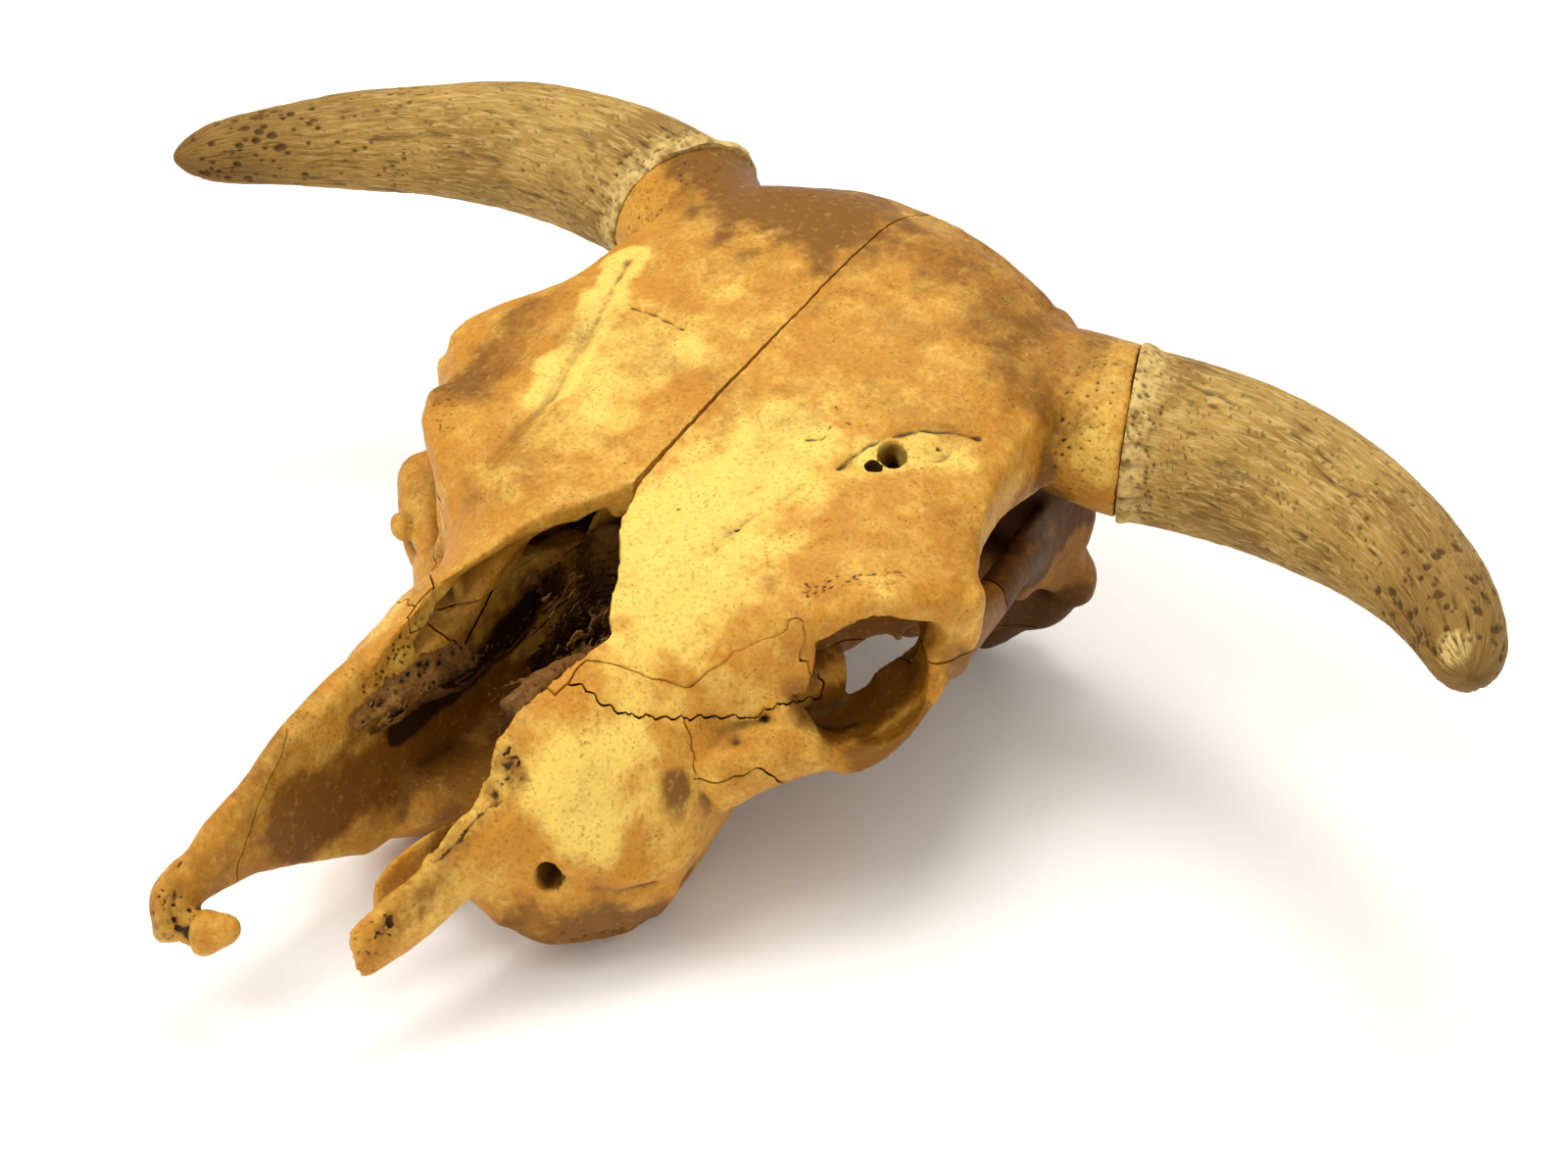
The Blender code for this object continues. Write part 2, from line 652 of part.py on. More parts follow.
def discard(obj):
    """Remove a spent cutter."""
    bpy.data.objects.remove(obj)


def join(obj, extra):
    """Put the shells of another object into this one."""
    bm = bmesh.new()
    bm.from_mesh(obj.data)
    bm.from_mesh(extra.data)
    bm.to_mesh(obj.data)
    bm.free()
    discard(extra)


def peel(blank, name, region):
    """Part one bone from the blank and leave an open suture round it."""
    bone = blank.copy()
    bone.data = blank.data.copy()
    bone.name = name
    bpy.context.scene.collection.objects.link(bone)
    boolean(bone, region, "INTERSECT")
    keep_largest(bone)
    close_up(bone, FLATNESS)
    wider = grown(region, GAP)
    boolean(blank, wider, "DIFFERENCE")
    close_up(blank)
    discard(region)
    discard(wider)
    return bone


def frontal_region(side):
    """Space that a frontal bone fills: (y, outer x, floor inside, floor outside)."""
    stations = ((-90, 38, 112, 112), (-74, 38, 108, 108), (-64, 51, 106, 106),
                (-50, 65, 106, 106), (-34, 76, 108, 112), (-26, 88, 110, 120),
                (-19, 97, 110, 122), (-8, 170, 112, 114),
                (30, 170, 116, 112), (60, 170, 122, 112), (100, 170, 130, 112),
                (140, 170, 136, 100), (180, 170, 140, 96), (230, 170, 142, 96))
    bm = bmesh.new()
    rings = []
    for y, outer, inside, outside in stations:
        middle = min(58, outer - 12)
        dip = np.interp(y, *zip(*ORBIT_DIP))
        rings.append([Vector((side * x, y, z)) for x, z in
                      ((GAP / 2, inside), (middle, inside), (min(74, outer - 10), inside - dip),
                       (min(112, outer - 8), outside - dip), (min(116, outer - 7), outside),
                       (outer - 6, outside), (outer, outside), (outer, 260), (GAP / 2, 260))])
    loft(bm, rings)
    bmesh.ops.triangulate(bm, faces=bm.faces)
    return mesh_object("frontal_region", bm)


def lacrimal_region(side):
    """Slab under the skin of the face between forehead, cheek and orbit."""
    outline = sided(side, (34, -96, 126), (45, -81, 112), (54, -68, 103), (62, -50, 92),
                    (80, -34, 94), (93, -26, 103), (112, -8, 106), (112, -6, 150),
                    (60, -45, 140), (34, -84, 140))
    inward = Vector((-side * 0.55, 0.30, -0.45)).normalized()
    outline = [point - inward * 26 for point in outline]
    return prism("lacrimal_region", outline, inward * 58)


def flat_region(name, outline, low, high):
    """Region drawn in side view as (y, z), filling x from low to high."""
    return prism(name, [Vector((low, y, z)) for y, z in outline], Vector((high - low, 0, 0)))


def part_bones(blank):
    """Cut the blank along its sutures, outer bones first, and return the bones."""
    bones = []
    for side, word in ((LEFT, "left"), (RIGHT, "right")):
        bones.append(peel(blank, f"frontal_{word}", frontal_region(side)))
        bones.append(peel(blank, f"lacrimal_{word}", lacrimal_region(side)))
        low, high = sorted((side * 66, side * 170))
        outline = ((-52, 100), (-46, 74), (-34, 62), (-24, 50), (95, 50), (95, 116), (20, 125),
                   (-20, 112))
        bones.append(peel(blank, f"zygomatic_{word}",
                          flat_region("zygomatic_region", outline, low, high)))
        low, high = sorted((side * 58, side * 170))
        outline = ((94, 30), (230, 30), (230, 124), (94, 124))
        bones.append(peel(blank, f"temporal_{word}",
                          flat_region("temporal_region", outline, low, high)))
    outline = ((124, -5), (230, -5), (230, 142), (176, 142), (150, 104), (150, 64), (124, 64))
    bones.append(peel(blank, "occipital",
                      flat_region("occipital_region", outline, -100, 100)))
    outline = ((-134, 130), (-147, 104), (-160, 90), (-171, 69), (-181, 50), (-186, 10),
               (-260, 10), (-260, 130))
    bones.append(peel(blank, "premaxilla_right",
                      flat_region("premaxilla_region", outline, -120, 8)))
    outline = ((-230, -20), (14, -20), (14, 150), (-230, 150))
    bones.append(peel(blank, "maxilla_left",
                      flat_region("maxilla_region", outline, GAP / 2, 150)))
    bones.append(peel(blank, "maxilla_right",
                      flat_region("maxilla_region", outline, -150, -GAP / 2)))
    keep_largest(blank)
    close_up(blank, FLATNESS)
    blank.name = "braincase"
    bones.append(blank)
    return bones


def square_horn_roots(blank):
    """Cut the forehead's two horn roots flat where the horn cores begin."""
    for horn in HORNS:
        facing = direction(LEFT if horn.base[0] > 0 else RIGHT, horn.burr)
        across = Vector((0, 0, 1)).cross(facing).normalized()
        up = facing.cross(across)
        corners = [Vector(horn.base) + (across * a + up * b) * CAST_WIDTH
                   for a, b in ((-1, -1), (1, -1), (1, 1), (-1, 1))]
        cutter = prism("horn_cutter", corners, facing * CAST_DEPTH)
        boolean(blank, cutter, "DIFFERENCE")
        discard(cutter)


def level_feet(blank):
    """Cut what the skull rests on to small flats at z = 0."""
    corners = [Vector((x, y, 0)) * FLOOR_SPAN for x, y in ((-1, -1), (1, -1), (1, 1), (-1, 1))]
    cutter = prism("floor_cutter", corners, Vector((0, 0, -FLOOR_DEPTH)))
    boolean(blank, cutter, "DIFFERENCE")
    discard(cutter)
    keep_largest(blank)


def decimate(obj, triangles):
    """Thin the object's mesh to about the wanted count of triangles."""
    obj.data.update()
    count = sum(len(face.vertices) - 2 for face in obj.data.polygons)
    thin = obj.modifiers.new("thin", "DECIMATE")
    thin.ratio = triangles / count
    thin.use_collapse_triangulate = True
    apply_modifiers(obj)


def finish(bone):
    """Shade the bone smooth and give it a material of its own."""
    bone.data.shade_smooth()
    bone.data.set_sharp_from_angle(angle=math.radians(SHARP_ANGLE))
    colour = next(colour for word, colour in COLOURS.items() if bone.name.startswith(word))
    material = bpy.data.materials.new(bone.name)
    material.use_nodes = True
    shader = material.node_tree.nodes["Principled BSDF"]
    shader.inputs["Base Color"].default_value = (*colour, 1)
    shader.inputs["Roughness"].default_value = BONE_ROUGHNESS
    shader.inputs["Metallic"].default_value = 0
    bone.data.materials.clear()
    bone.data.materials.append(material)


def main():
    """Clear the scene and build every bone."""
    for obj in list(bpy.data.objects):
        bpy.data.objects.remove(obj)
    bones = part_bones(build_blank())
    bones += fill_nose()
    bones += [make_horn(horn) for horn in HORNS]
    corners = [vert.co for bone in bones for vert in bone.data.vertices]
    middle = [(min(c[axis] for c in corners) + max(c[axis] for c in corners)) / 2
              for axis in (0, 1)]
    to_origin = Matrix.Scale(MM, 4) @ Matrix.Translation((-middle[0], -middle[1], 0))
    for bone in bones:
        bone.data.transform(to_origin)
        finish(bone)


if __name__ == "__main__":
    main()
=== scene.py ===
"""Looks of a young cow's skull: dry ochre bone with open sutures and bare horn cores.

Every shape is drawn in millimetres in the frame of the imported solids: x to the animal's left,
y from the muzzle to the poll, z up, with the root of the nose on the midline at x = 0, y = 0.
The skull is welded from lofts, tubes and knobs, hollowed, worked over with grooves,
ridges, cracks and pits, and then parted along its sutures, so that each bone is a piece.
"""

import itertools
import logging
import math
from dataclasses import dataclass, field
from enum import Enum
from typing import Any, Iterable, Sequence

import bmesh
import bpy
import numpy as np
from mathutils import Matrix, Vector


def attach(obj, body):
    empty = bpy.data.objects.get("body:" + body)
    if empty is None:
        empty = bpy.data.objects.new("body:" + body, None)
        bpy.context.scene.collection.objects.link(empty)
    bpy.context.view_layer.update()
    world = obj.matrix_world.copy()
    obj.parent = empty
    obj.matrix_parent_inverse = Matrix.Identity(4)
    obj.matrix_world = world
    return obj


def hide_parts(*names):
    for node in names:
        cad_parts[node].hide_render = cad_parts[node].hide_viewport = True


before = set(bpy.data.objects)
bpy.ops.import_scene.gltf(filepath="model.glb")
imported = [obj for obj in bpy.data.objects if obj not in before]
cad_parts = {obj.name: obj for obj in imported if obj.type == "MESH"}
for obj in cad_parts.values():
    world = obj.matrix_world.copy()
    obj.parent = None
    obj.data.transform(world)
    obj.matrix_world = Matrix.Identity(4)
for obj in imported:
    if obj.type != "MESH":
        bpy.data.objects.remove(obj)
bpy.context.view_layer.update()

LOG = logging.getLogger("cow_skull")
Point = Sequence[float]
Path = Sequence[Point]
Pair = tuple[float, float]
Array = np.ndarray
Solid = bpy.types.Object
Socket = bpy.types.NodeSocket

MM = 0.001
ROOT_OF_NOSE = (1.576, -1.066, 0.0)  # place of the drawing's origin in the frame, mm

GRAIN = 1.3   # side of the cells that the bone is welded from, mm
BODY_SOFTNESS = 4.2                  # how far the welded forms melt into each other, mm
CAVITY_SOFTNESS = 1.7                # how far the edges of the openings are eased, mm
EDGE_SOFTNESS = 0.9                  # rounding of broken and worn edges, mm
RING_POINTS = 64                     # points round a section of a loft
RINGS_BETWEEN = 4                    # sections added between two drawn stations
FLOOR_CLEARANCE = 0.3                # height of the lowest bone over the floor, mm
TWIST = 0.08                         # drop of the left side of the cranium per mm out
MUZZLE_LEAN = 8.0                    # how far the muzzle swings to the right, mm
RIGHT_SWELL = (                      # at each y, how much farther out the right side is
    (-140, 0), (-120, -5), (-100, -13), (-60, -17), (-30, -13), (-5, 0), (10, -2), (22, -8),
    (34, -3), (42, 9), (50, 18), (60, 23), (72, 21), (95, 9), (125, 2), (140, 0),
)
ORBIT_LOOKS = (0.78, -0.62, 0.0)     # way the left orbit looks
SUTURE_SHADE = 0.8                    # depth that a suture's walls pass for, so that they take painted shade, mm
SHARPEST_CORNER = 1.6                # most that a corner moves for each mm of its faces
MARK_SEED, PIT_SEED, NOSE_PIT_SEED = 100, 200, 300    # each mark or patch adds its number
CRISP_ANGLE = 55.0                   # edges steeper than this stay crisp, degrees
BUMP_HEIGHT = 0.9                    # full height of the relief in a finish, mm


class Side(Enum):
    """The two sides of the animal, with the sign of their x."""

    LEFT = 1
    RIGHT = -1

    @property
    def word(self) -> str:
        """Name of the side as the pieces spell it."""
        return self.name.lower()


class Slot(Enum):
    """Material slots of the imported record."""

    FACE = "face_bone"
    HIND = "dark_hind_bone"
    HORN = "horn_core_bone"
    NOSE = "inner_nose_bone"


class Cut(Enum):
    """The two ways that a tool works on a solid."""

    REMOVE = "DIFFERENCE"
    KEEP = "INTERSECT"


# ---- small helpers ----

def ease(low: float, high: float, value: Any) -> Any:
    """Ease from 0 at low to 1 at high.

    Args:
        low: value at which the result leaves 0.
        high: value at which the result reaches 1.
        value: number or array.

    Returns:
        The eased share, of the same shape as value.
    """
    share = np.clip((value - low) / (high - low), 0.0, 1.0)
    return share * share * (3 - 2 * share)


def sided(side: Side, *points: Point) -> list[Vector]:
    """Move points drawn for the left side to the wanted side."""
    return [Vector((side.value * x, y, z)) for x, y, z in points]


def mirrored(half: Sequence[Vector]) -> list[Vector]:
    """Mirror half an outline to the other side and run it back."""
    return [Vector((-p.x, p.y, p.z)) for p in reversed(half)]


def curve_point(p0: Any, p1: Any, p2: Any, p3: Any, t: float) -> Any:
    """Find a point of the smooth curve that passes four points.

    Args:
        p0: the point before the stretch, as a vector or an array.
        p1: where the stretch starts.
        p2: where the stretch ends.
        p3: the point after the stretch.
        t: share of the stretch that is passed.

    Returns:
        The point, of the same kind as the four.
    """
    return 0.5 * (2 * p1 + (p2 - p0) * t + (2 * p0 - 5 * p1 + 4 * p2 - p3) * t * t
                  + (3 * p1 - 3 * p2 + p3 - p0) * t ** 3)


def closed_curve(corners: Sequence[Vector], count: int) -> list[Vector]:
    """Run a smooth closed curve through corner points.

    Args:
        corners: the points that the curve passes.
        count: number of points wanted on the curve.

    Returns:
        The points, evenly spread over the corners.
    """
    total = len(corners)
    points = []
    for index in range(count):
        place = index * total / count
        start = int(place)
        passed = (corners[(start + k) % total] for k in (-1, 0, 1, 2))
        points.append(curve_point(*passed, place - start))
    return points


def filled_in(rings: Iterable[Sequence[Vector]], between: int = RINGS_BETWEEN) -> Array:
    """Add smooth sections between the drawn sections of a loft.

    Args:
        rings: the drawn sections, each with the same count of points.
        between: sections added in each gap.

    Returns:
        Array of sections, points and coordinates.
    """
    drawn = np.array([[tuple(p) for p in ring] for ring in rings], float)
    last = len(drawn) - 1
    out = []
    for place in np.linspace(0, last, last * (between + 1) + 1):
        start = min(int(place), last - 1)
        out.append(curve_point(drawn[max(start - 1, 0)], drawn[start], drawn[start + 1],
                               drawn[min(start + 2, last)], place - start))
    return np.array(out)


def path_distance(points: Array, path: Any) -> Array:
    """Measure how far points lie from a path.

    Args:
        points: array of points, mm.
        path: corners of the path, or only one.

    Returns:
        One distance for each point, mm.
    """
    path = np.array(path, float)
    best = np.full(len(points), np.inf)
    for start, end in zip(path, path[1:] if len(path) > 1 else path):
        leg = end - start
        share = ((points - start) @ leg / max(leg @ leg, 1e-9)).clip(0, 1)
        gap = points - start - share[:, None] * leg
        best = np.minimum(best, np.sqrt((gap ** 2).sum(1)))
    return best


def linked(name: str, data: bpy.types.ID) -> bpy.types.Object:
    """Make an object and link it to the scene.

    Args:
        name: name of the object.
        data: its mesh, light or camera.

    Returns:
        The object.
    """
    obj = bpy.data.objects.new(name, data)
    bpy.context.scene.collection.objects.link(obj)
    return obj


def read_rows(items: Any, name: str, width: int, kind: type = float) -> Array:
    """Read one property of every item of a mesh.

    Args:
        items: the mesh's points, edges or normals.
        name: name of the property.
        width: how many numbers it has.
        kind: kind of its numbers.

    Returns:
        Array with one row for each item.
    """
    values = np.zeros(len(items) * width, kind)
    items.foreach_get(name, values)
    return values.reshape(-1, width)


def store_layer(mesh: bpy.types.Mesh, name: str, values: Array) -> None:
    """Store one number for each point of a mesh under a name."""
    layer = mesh.attributes.new(name, "FLOAT", "POINT")
    layer.data.foreach_set("value", values.astype(np.float32))


class LatticeNoise:
    """Smooth random values in space, the same on each run."""

    CELLS = 64
    TURN = np.array(Matrix.Rotation(0.7, 3, "X") @ Matrix.Rotation(0.5, 3, "Z"))

    def __init__(self, seed: int) -> None:
        """Draw the random lattice from a seed."""
        self.values = np.random.default_rng(seed).uniform(-1, 1, (self.CELLS,) * 3)

    def at(self, points: Array, size: float) -> Array:
        """Read the noise.

        Args:
            points: array of points, mm.
            size: spacing of the bumps, mm.

        Returns:
            One value from -1 to 1 for each point.
        """
        place = points @ self.TURN / size
        cell = np.floor(place).astype(int)
        t = place - cell
        t = t * t * (3 - 2 * t)
        total = np.zeros(len(points))
        for corner in itertools.product((0, 1), repeat=3):
            weight = np.prod(np.where(np.array(corner) == 1, t, 1 - t), axis=1)
            i, j, k = ((cell + corner) % self.CELLS).T
            total += weight * self.values[i, j, k]
        return total


def stitches(along: Array, pitch: float, reach: float, seed: int) -> Array:
    """Give the sideways run of an interlocking suture.

    Args:
        along: distances along the suture, mm.
        pitch: length of one tooth, mm.
        reach: height of the tallest tooth, mm.
        seed: which random run of teeth.

    Returns:
        Sideways offset at each distance, mm.
    """
    count = int((along.max() - along.min()) / pitch) + 3
    random = np.random.default_rng(seed)
    knots = along.min() + (np.arange(count) + random.uniform(-0.3, 0.3, count)) * pitch
    teeth = np.where(np.arange(count) % 2, 1, -1) * random.uniform(0.15, 1.0, count) * reach
    return np.interp(along, knots, teeth)


# ---- drawing ----

class Drawing:
    """A set of closed forms in millimetres, drawn one by one into one mesh."""

    def __init__(self) -> None:
        """Start an empty drawing."""
        self.bm = bmesh.new()

    def loft(self, rings: Any) -> None:
        """Skin a row of sections and close both ends.

        Args:
            rings: sections of equal count, as points or as one array.
        """
        rings = np.array([[tuple(p) for p in ring] for ring in rings], float)
        rings = np.concatenate([rings, rings[:, :1]], axis=1)
        rows, columns = rings.shape[:2]
        grid = bmesh.ops.create_grid(self.bm, x_segments=columns - 1, y_segments=rows - 1)
        for vert, place in zip(grid["verts"], rings.reshape(-1, 3)):
            vert.co = place
        faces = {face for vert in grid["verts"] for face in vert.link_faces}
        bmesh.ops.remove_doubles(self.bm, verts=grid["verts"], dist=1e-4)
        edges = {edge for face in faces if face.is_valid for edge in face.edges}
        bmesh.ops.holes_fill(self.bm, edges=[e for e in edges if e.is_boundary], sides=0)

    def tube(self, points: Iterable[Point], radii: Sequence[float], flatten: float = 1.0,
             across: Point = (1, 0, 0), sides: int = 24) -> None:
        """Sweep a round or flattened section along a path.

        Args:
            points: the path.
            radii: radius at each point of the path.
            flatten: height of the section for each mm of its width.
            across: direction of the section's width.
            sides: points round the section.
        """
        path = [Vector(point) for point in points]
        wide = Vector(across)
        rings = []
        for index, point in enumerate(path):
            along = (path[min(index + 1, len(path) - 1)] - path[max(index - 1, 0)]).normalized()
            side = (wide - along * wide.dot(along)).normalized()
            up = along.cross(side)
            radius = radii[index]
            angles = [2 * math.pi * k / sides for k in range(sides)]
            rings.append([point + side * math.cos(a) * radius
                          + up * math.sin(a) * radius * flatten for a in angles])
        self.loft(filled_in(rings, 3))

    def knob(self, centre: Point, radii: Point, turn: Point = (0, 0, 0)) -> None:
        """Add one ellipsoid.

        Args:
            centre: its middle.
            radii: its three half widths.
            turn: degrees that it is turned about x, y and z.
        """
        matrix = Matrix.Translation(centre)
        for angle, axis in zip(turn, "XYZ"):
            matrix = matrix @ Matrix.Rotation(math.radians(angle), 4, axis)
        bmesh.ops.create_icosphere(self.bm, subdivisions=4, radius=1,
                                   matrix=matrix @ Matrix.Diagonal((*radii, 1)))

    def prism(self, outline: Sequence[Point], push: Point) -> None:
        """Push a flat outline into a closed form.

        Args:
            outline: corners of the outline.
            push: the way and the distance that it is pushed.
        """
        face = self.bm.faces.new([self.bm.verts.new(point) for point in outline])
        raised = bmesh.ops.extrude_face_region(self.bm, geom=[face])["geom"]
        lifted = [item for item in raised if isinstance(item, bmesh.types.BMVert)]
        bmesh.ops.translate(self.bm, verts=lifted, vec=push)

    def solid(self, name: str) -> Solid:
        """Turn the drawing into an object with its faces pointing out.

        Args:
            name: name of the object.

        Returns:
            The object.
        """
        bmesh.ops.recalc_face_normals(self.bm, faces=self.bm.faces)
        bmesh.ops.triangulate(self.bm, faces=[f for f in self.bm.faces if len(f.verts) > 4])
        mesh = bpy.data.meshes.new(name)
        self.bm.to_mesh(mesh)
        self.bm.free()
        return linked(name, mesh)


# ---- mesh workshop ----

class Workshop:
    """The machine tools: weld, cut, part and clean a solid."""

    @staticmethod
    def apply(obj: Solid) -> None:
        """Replace an object's mesh with what its modifiers make of it.

        Args:
            obj: the object.
        """
        graph = bpy.context.evaluated_depsgraph_get()
        mesh = bpy.data.meshes.new_from_object(obj.evaluated_get(graph))
        obj.modifiers.clear()
        spent = obj.data
        obj.data = mesh
        bpy.data.meshes.remove(spent)

    @classmethod
    def weld(cls, obj: Solid, grain: float, softness: float) -> None:
        """Melt overlapping shells into one skin and soften it.

        Args:
            obj: the solid.
            grain: side of the cells, mm.
            softness: how far the forms melt into each other, mm.
        """
        remesh = obj.modifiers.new("weld", "REMESH")
        remesh.mode = "VOXEL"
        remesh.voxel_size = grain
        soften = obj.modifiers.new("soften", "SMOOTH")
        soften.factor = 0.5
        soften.iterations = max(1, round(4 * softness ** 2 / grain ** 2))
        cls.apply(obj)

    @classmethod
    def cut(cls, obj: Solid, tool: Solid, way: Cut) -> None:
        """Work a tool on a closed solid; once hollows are known, its cut faces take painted
        shade.

        Args:
            obj: the solid.
            tool: the closed tool, which is kept.
            way: whether the tool's inside is removed or kept.
        """
        if "hollow" in obj.data.attributes and "hollow" not in tool.data.attributes:
            store_layer(tool.data, "hollow", np.full(len(tool.data.vertices), SUTURE_SHADE))
        for solver in ("MANIFOLD", "EXACT"):
            modifier = obj.modifiers.new("cut", "BOOLEAN")
            modifier.operation = way.value
            modifier.solver = solver
            modifier.object = tool
            graph = bpy.context.evaluated_depsgraph_get()
            result = len(obj.evaluated_get(graph).data.polygons)
            same = way is not Cut.REMOVE and result == len(obj.data.polygons)
            if result and not same:
                cls.apply(obj)
                return
            obj.modifiers.clear()
        LOG.warning("cut of %s left it as it was", obj.name)

    @classmethod
    def remove(cls, obj: Solid, tool: Solid) -> None:
        """Cut a tool out of a solid and throw the tool away."""
        cls.cut(obj, tool, Cut.REMOVE)
        cls.discard(tool)

    @staticmethod
    def grown(obj: Solid, distance: float) -> Solid:
        """Copy a tool with its faces moved out.

        Args:
            obj: the tool.
            distance: how far its faces move, mm.

        Returns:
            The wider copy.
        """
        bm = bmesh.new()
        bm.from_mesh(obj.data)
        bm.normal_update()
        moves = [(v, v.normal * distance * min(v.calc_shell_factor(), SHARPEST_CORNER))
                 for v in bm.verts]
        for vert, move in moves:
            vert.co += move
        mesh = bpy.data.meshes.new("grown")
        bm.to_mesh(mesh)
        bm.free()
        return linked("grown", mesh)

    @staticmethod
    def join(obj: Solid, extra: Solid) -> None:
        """Put the shells of one object into another, to be welded later.

        Args:
            obj: the object that takes them.
            extra: the object that gives them and is removed.
        """
        bm = bmesh.new()
        bm.from_mesh(obj.data)
        bm.from_mesh(extra.data)
        bm.to_mesh(obj.data)
        bm.free()
        bpy.data.objects.remove(extra)

    @staticmethod
    def discard(tool: Solid) -> None:
        """Throw a spent tool away."""
        bpy.data.objects.remove(tool)

    @staticmethod
    def keep_largest(obj: Solid) -> None:
        """Drop every loose crumb beside the largest body of an object.

        Args:
            obj: the object.
        """
        mesh = obj.data
        first, second = read_rows(mesh.edges, "vertices", 2, int).T
        label = np.arange(len(mesh.vertices))
        while True:
            low = np.minimum(label[first], label[second])
            before = label.copy()
            np.minimum.at(label, first, low)
            np.minimum.at(label, second, low)
            label = label[label]
            if np.array_equal(before, label):
                break
        names, counts = np.unique(label, return_counts=True)
        if len(names) == 1:
            return
        crumbs = np.nonzero(label != names[counts.argmax()])[0]
        bm = bmesh.new()
        bm.from_mesh(mesh)
        bm.verts.ensure_lookup_table()
        bmesh.ops.delete(bm, geom=[bm.verts[i] for i in crumbs], context="VERTS")
        bm.to_mesh(mesh)
        bm.free()


class Skin:
    """The points of one solid as arrays, worked over in millimetres."""

    def __init__(self, obj: Solid) -> None:
        """Read the points, normals and edges of an object.

        Args:
            obj: the object.
        """
        self.obj = obj
        self.points = read_rows(obj.data.vertices, "co", 3)
        first, second = read_rows(obj.data.edges, "vertices", 2, int).T
        self.ends = np.concatenate([first, second])
        self.others = np.concatenate([second, first])
        self.degree = np.bincount(self.ends, minlength=len(self.points)).clip(1)
        self.refresh()

    def refresh(self) -> None:
        """Write the points back and read the normals again."""
        mesh = self.obj.data
        mesh.vertices.foreach_set("co", self.points.reshape(-1).astype(np.float32))
        mesh.update()
        self.normals = read_rows(mesh.vertex_normals, "vector", 3)

    def averaged(self, values: Array, passes: int) -> Array:
        """Spread values to their neighbours.

        Args:
            values: one row of numbers for each point.
            passes: how often each point takes half its neighbours' mean.

        Returns:
            The spread values.
        """
        values = values.reshape(len(self.points), -1).copy()
        for _ in range(passes):
            for column in values.T:
                total = np.bincount(self.ends, column[self.others], len(self.points))
                column += (total / self.degree - column) * 0.5
        return values

    def snapped(self, path: Path) -> Array:
        """Move each point of a path to the nearest point of the skin."""
        return np.array([self.points[((self.points - place) ** 2).sum(1).argmin()]
                         for place in path])

    def reach(self, path: Path, limit: float) -> Array:
        """Measure how far each point of the skin lies from a path.

        Args:
            path: points that are first snapped to the skin.
            limit: distance past which nothing is measured.

        Returns:
            The distances, infinite past the limit.
        """
        path = self.snapped(path)
        distance = np.full(len(self.points), np.inf)
        low, high = path.min(0) - limit, path.max(0) + limit
        near = np.nonzero(((self.points > low) & (self.points < high)).all(1))[0]
        best = path_distance(self.points[near], path)
        distance[near] = np.where(best < limit, best, np.inf)
        return distance

    def push(self, amount: Array) -> None:
        """Move every point along its normal by an amount in mm."""
        self.points += self.normals * amount[:, None]

    def paint(self, name: str, values: Array) -> None:
        """Store one number for each point under a name."""
        store_layer(self.obj.data, name, values)


# ---- the skull's forms ----

@dataclass(frozen=True)
class RoofStation:
    """One cross-section of the forehead: height on the midline and at the edge."""

    y: float
    half_width: float
    crown: float               # height of the midline
    edge: float                # height of the side edge
    depth: float               # thickness at the side edge
    fullness: float            # power of the fall from midline to edge


@dataclass(frozen=True)
class FaceStation:
    """Half of one cross-section of the face: (x, z) at the height of each named line."""

    y: float
    nasal: Pair                # edge that carried the nasal bone
    cheek: Pair                # middle of the side wall
    crest: Pair                # facial crest and tuberosity
    socket_outer: Pair         # outer edge of the tooth sockets
    socket_inner: Pair         # inner edge of the tooth sockets
    palate: float              # height of the palate


ROOF = tuple(RoofStation(*row) for row in (
    (-74, 40, 131, 123, 12, 2.0),
    (-50, 66, 140, 112, 16, 1.8),
    (-35, 80, 145, 119, 16, 2.0),
    (-22, 97, 148, 136, 16, 2.6),
    (-8, 109, 150, 142, 16, 2.8),
    (6, 119, 153, 146, 16, 2.8),
    (24, 132, 160, 143, 18, 2.8),
    (44, 132, 168, 146, 20, 3.0),
    (68, 120, 176, 154, 26, 3.0),
    (100, 110, 185, 164, 40, 3.0),
    (135, 107, 196, 175, 54, 3.0),
    (170, 102, 203, 178, 64, 2.6),
    (192, 90, 199, 172, 58, 2.2),
    (205, 76, 191, 168, 48, 2.0),
))

FACE = tuple(FaceStation(*row) for row in (
    (-130, (34, 66), (41, 60), (44, 52), (42, 38), (33, 39), 48),
    (-118, (35, 88), (50, 76), (57, 56), (54, 24), (37, 26), 45),
    (-108, (37, 110), (59, 86), (67, 56), (58, 17), (38, 19), 43),
    (-90, (40, 117), (66, 90), (76, 50), (57, 9), (39, 10), 42),
    (-68, (43, 124), (73, 94), (81, 42), (58, 2), (41, 3), 40),
    (-45, (60, 114), (78, 92), (78, 54), (58, 2), (42, 3), 40),
    (-22, (70, 110), (82, 94), (78, 70), (58, 14), (43, 14), 40),
    (0, (58, 104), (64, 88), (66, 70), (58, 28), (44, 28), 40),
    (22, (48, 104), (50, 86), (54, 66), (52, 40), (42, 36), 40),
    (48, (45, 104), (46, 88), (46, 70), (42, 50), (36, 46), 50),
))


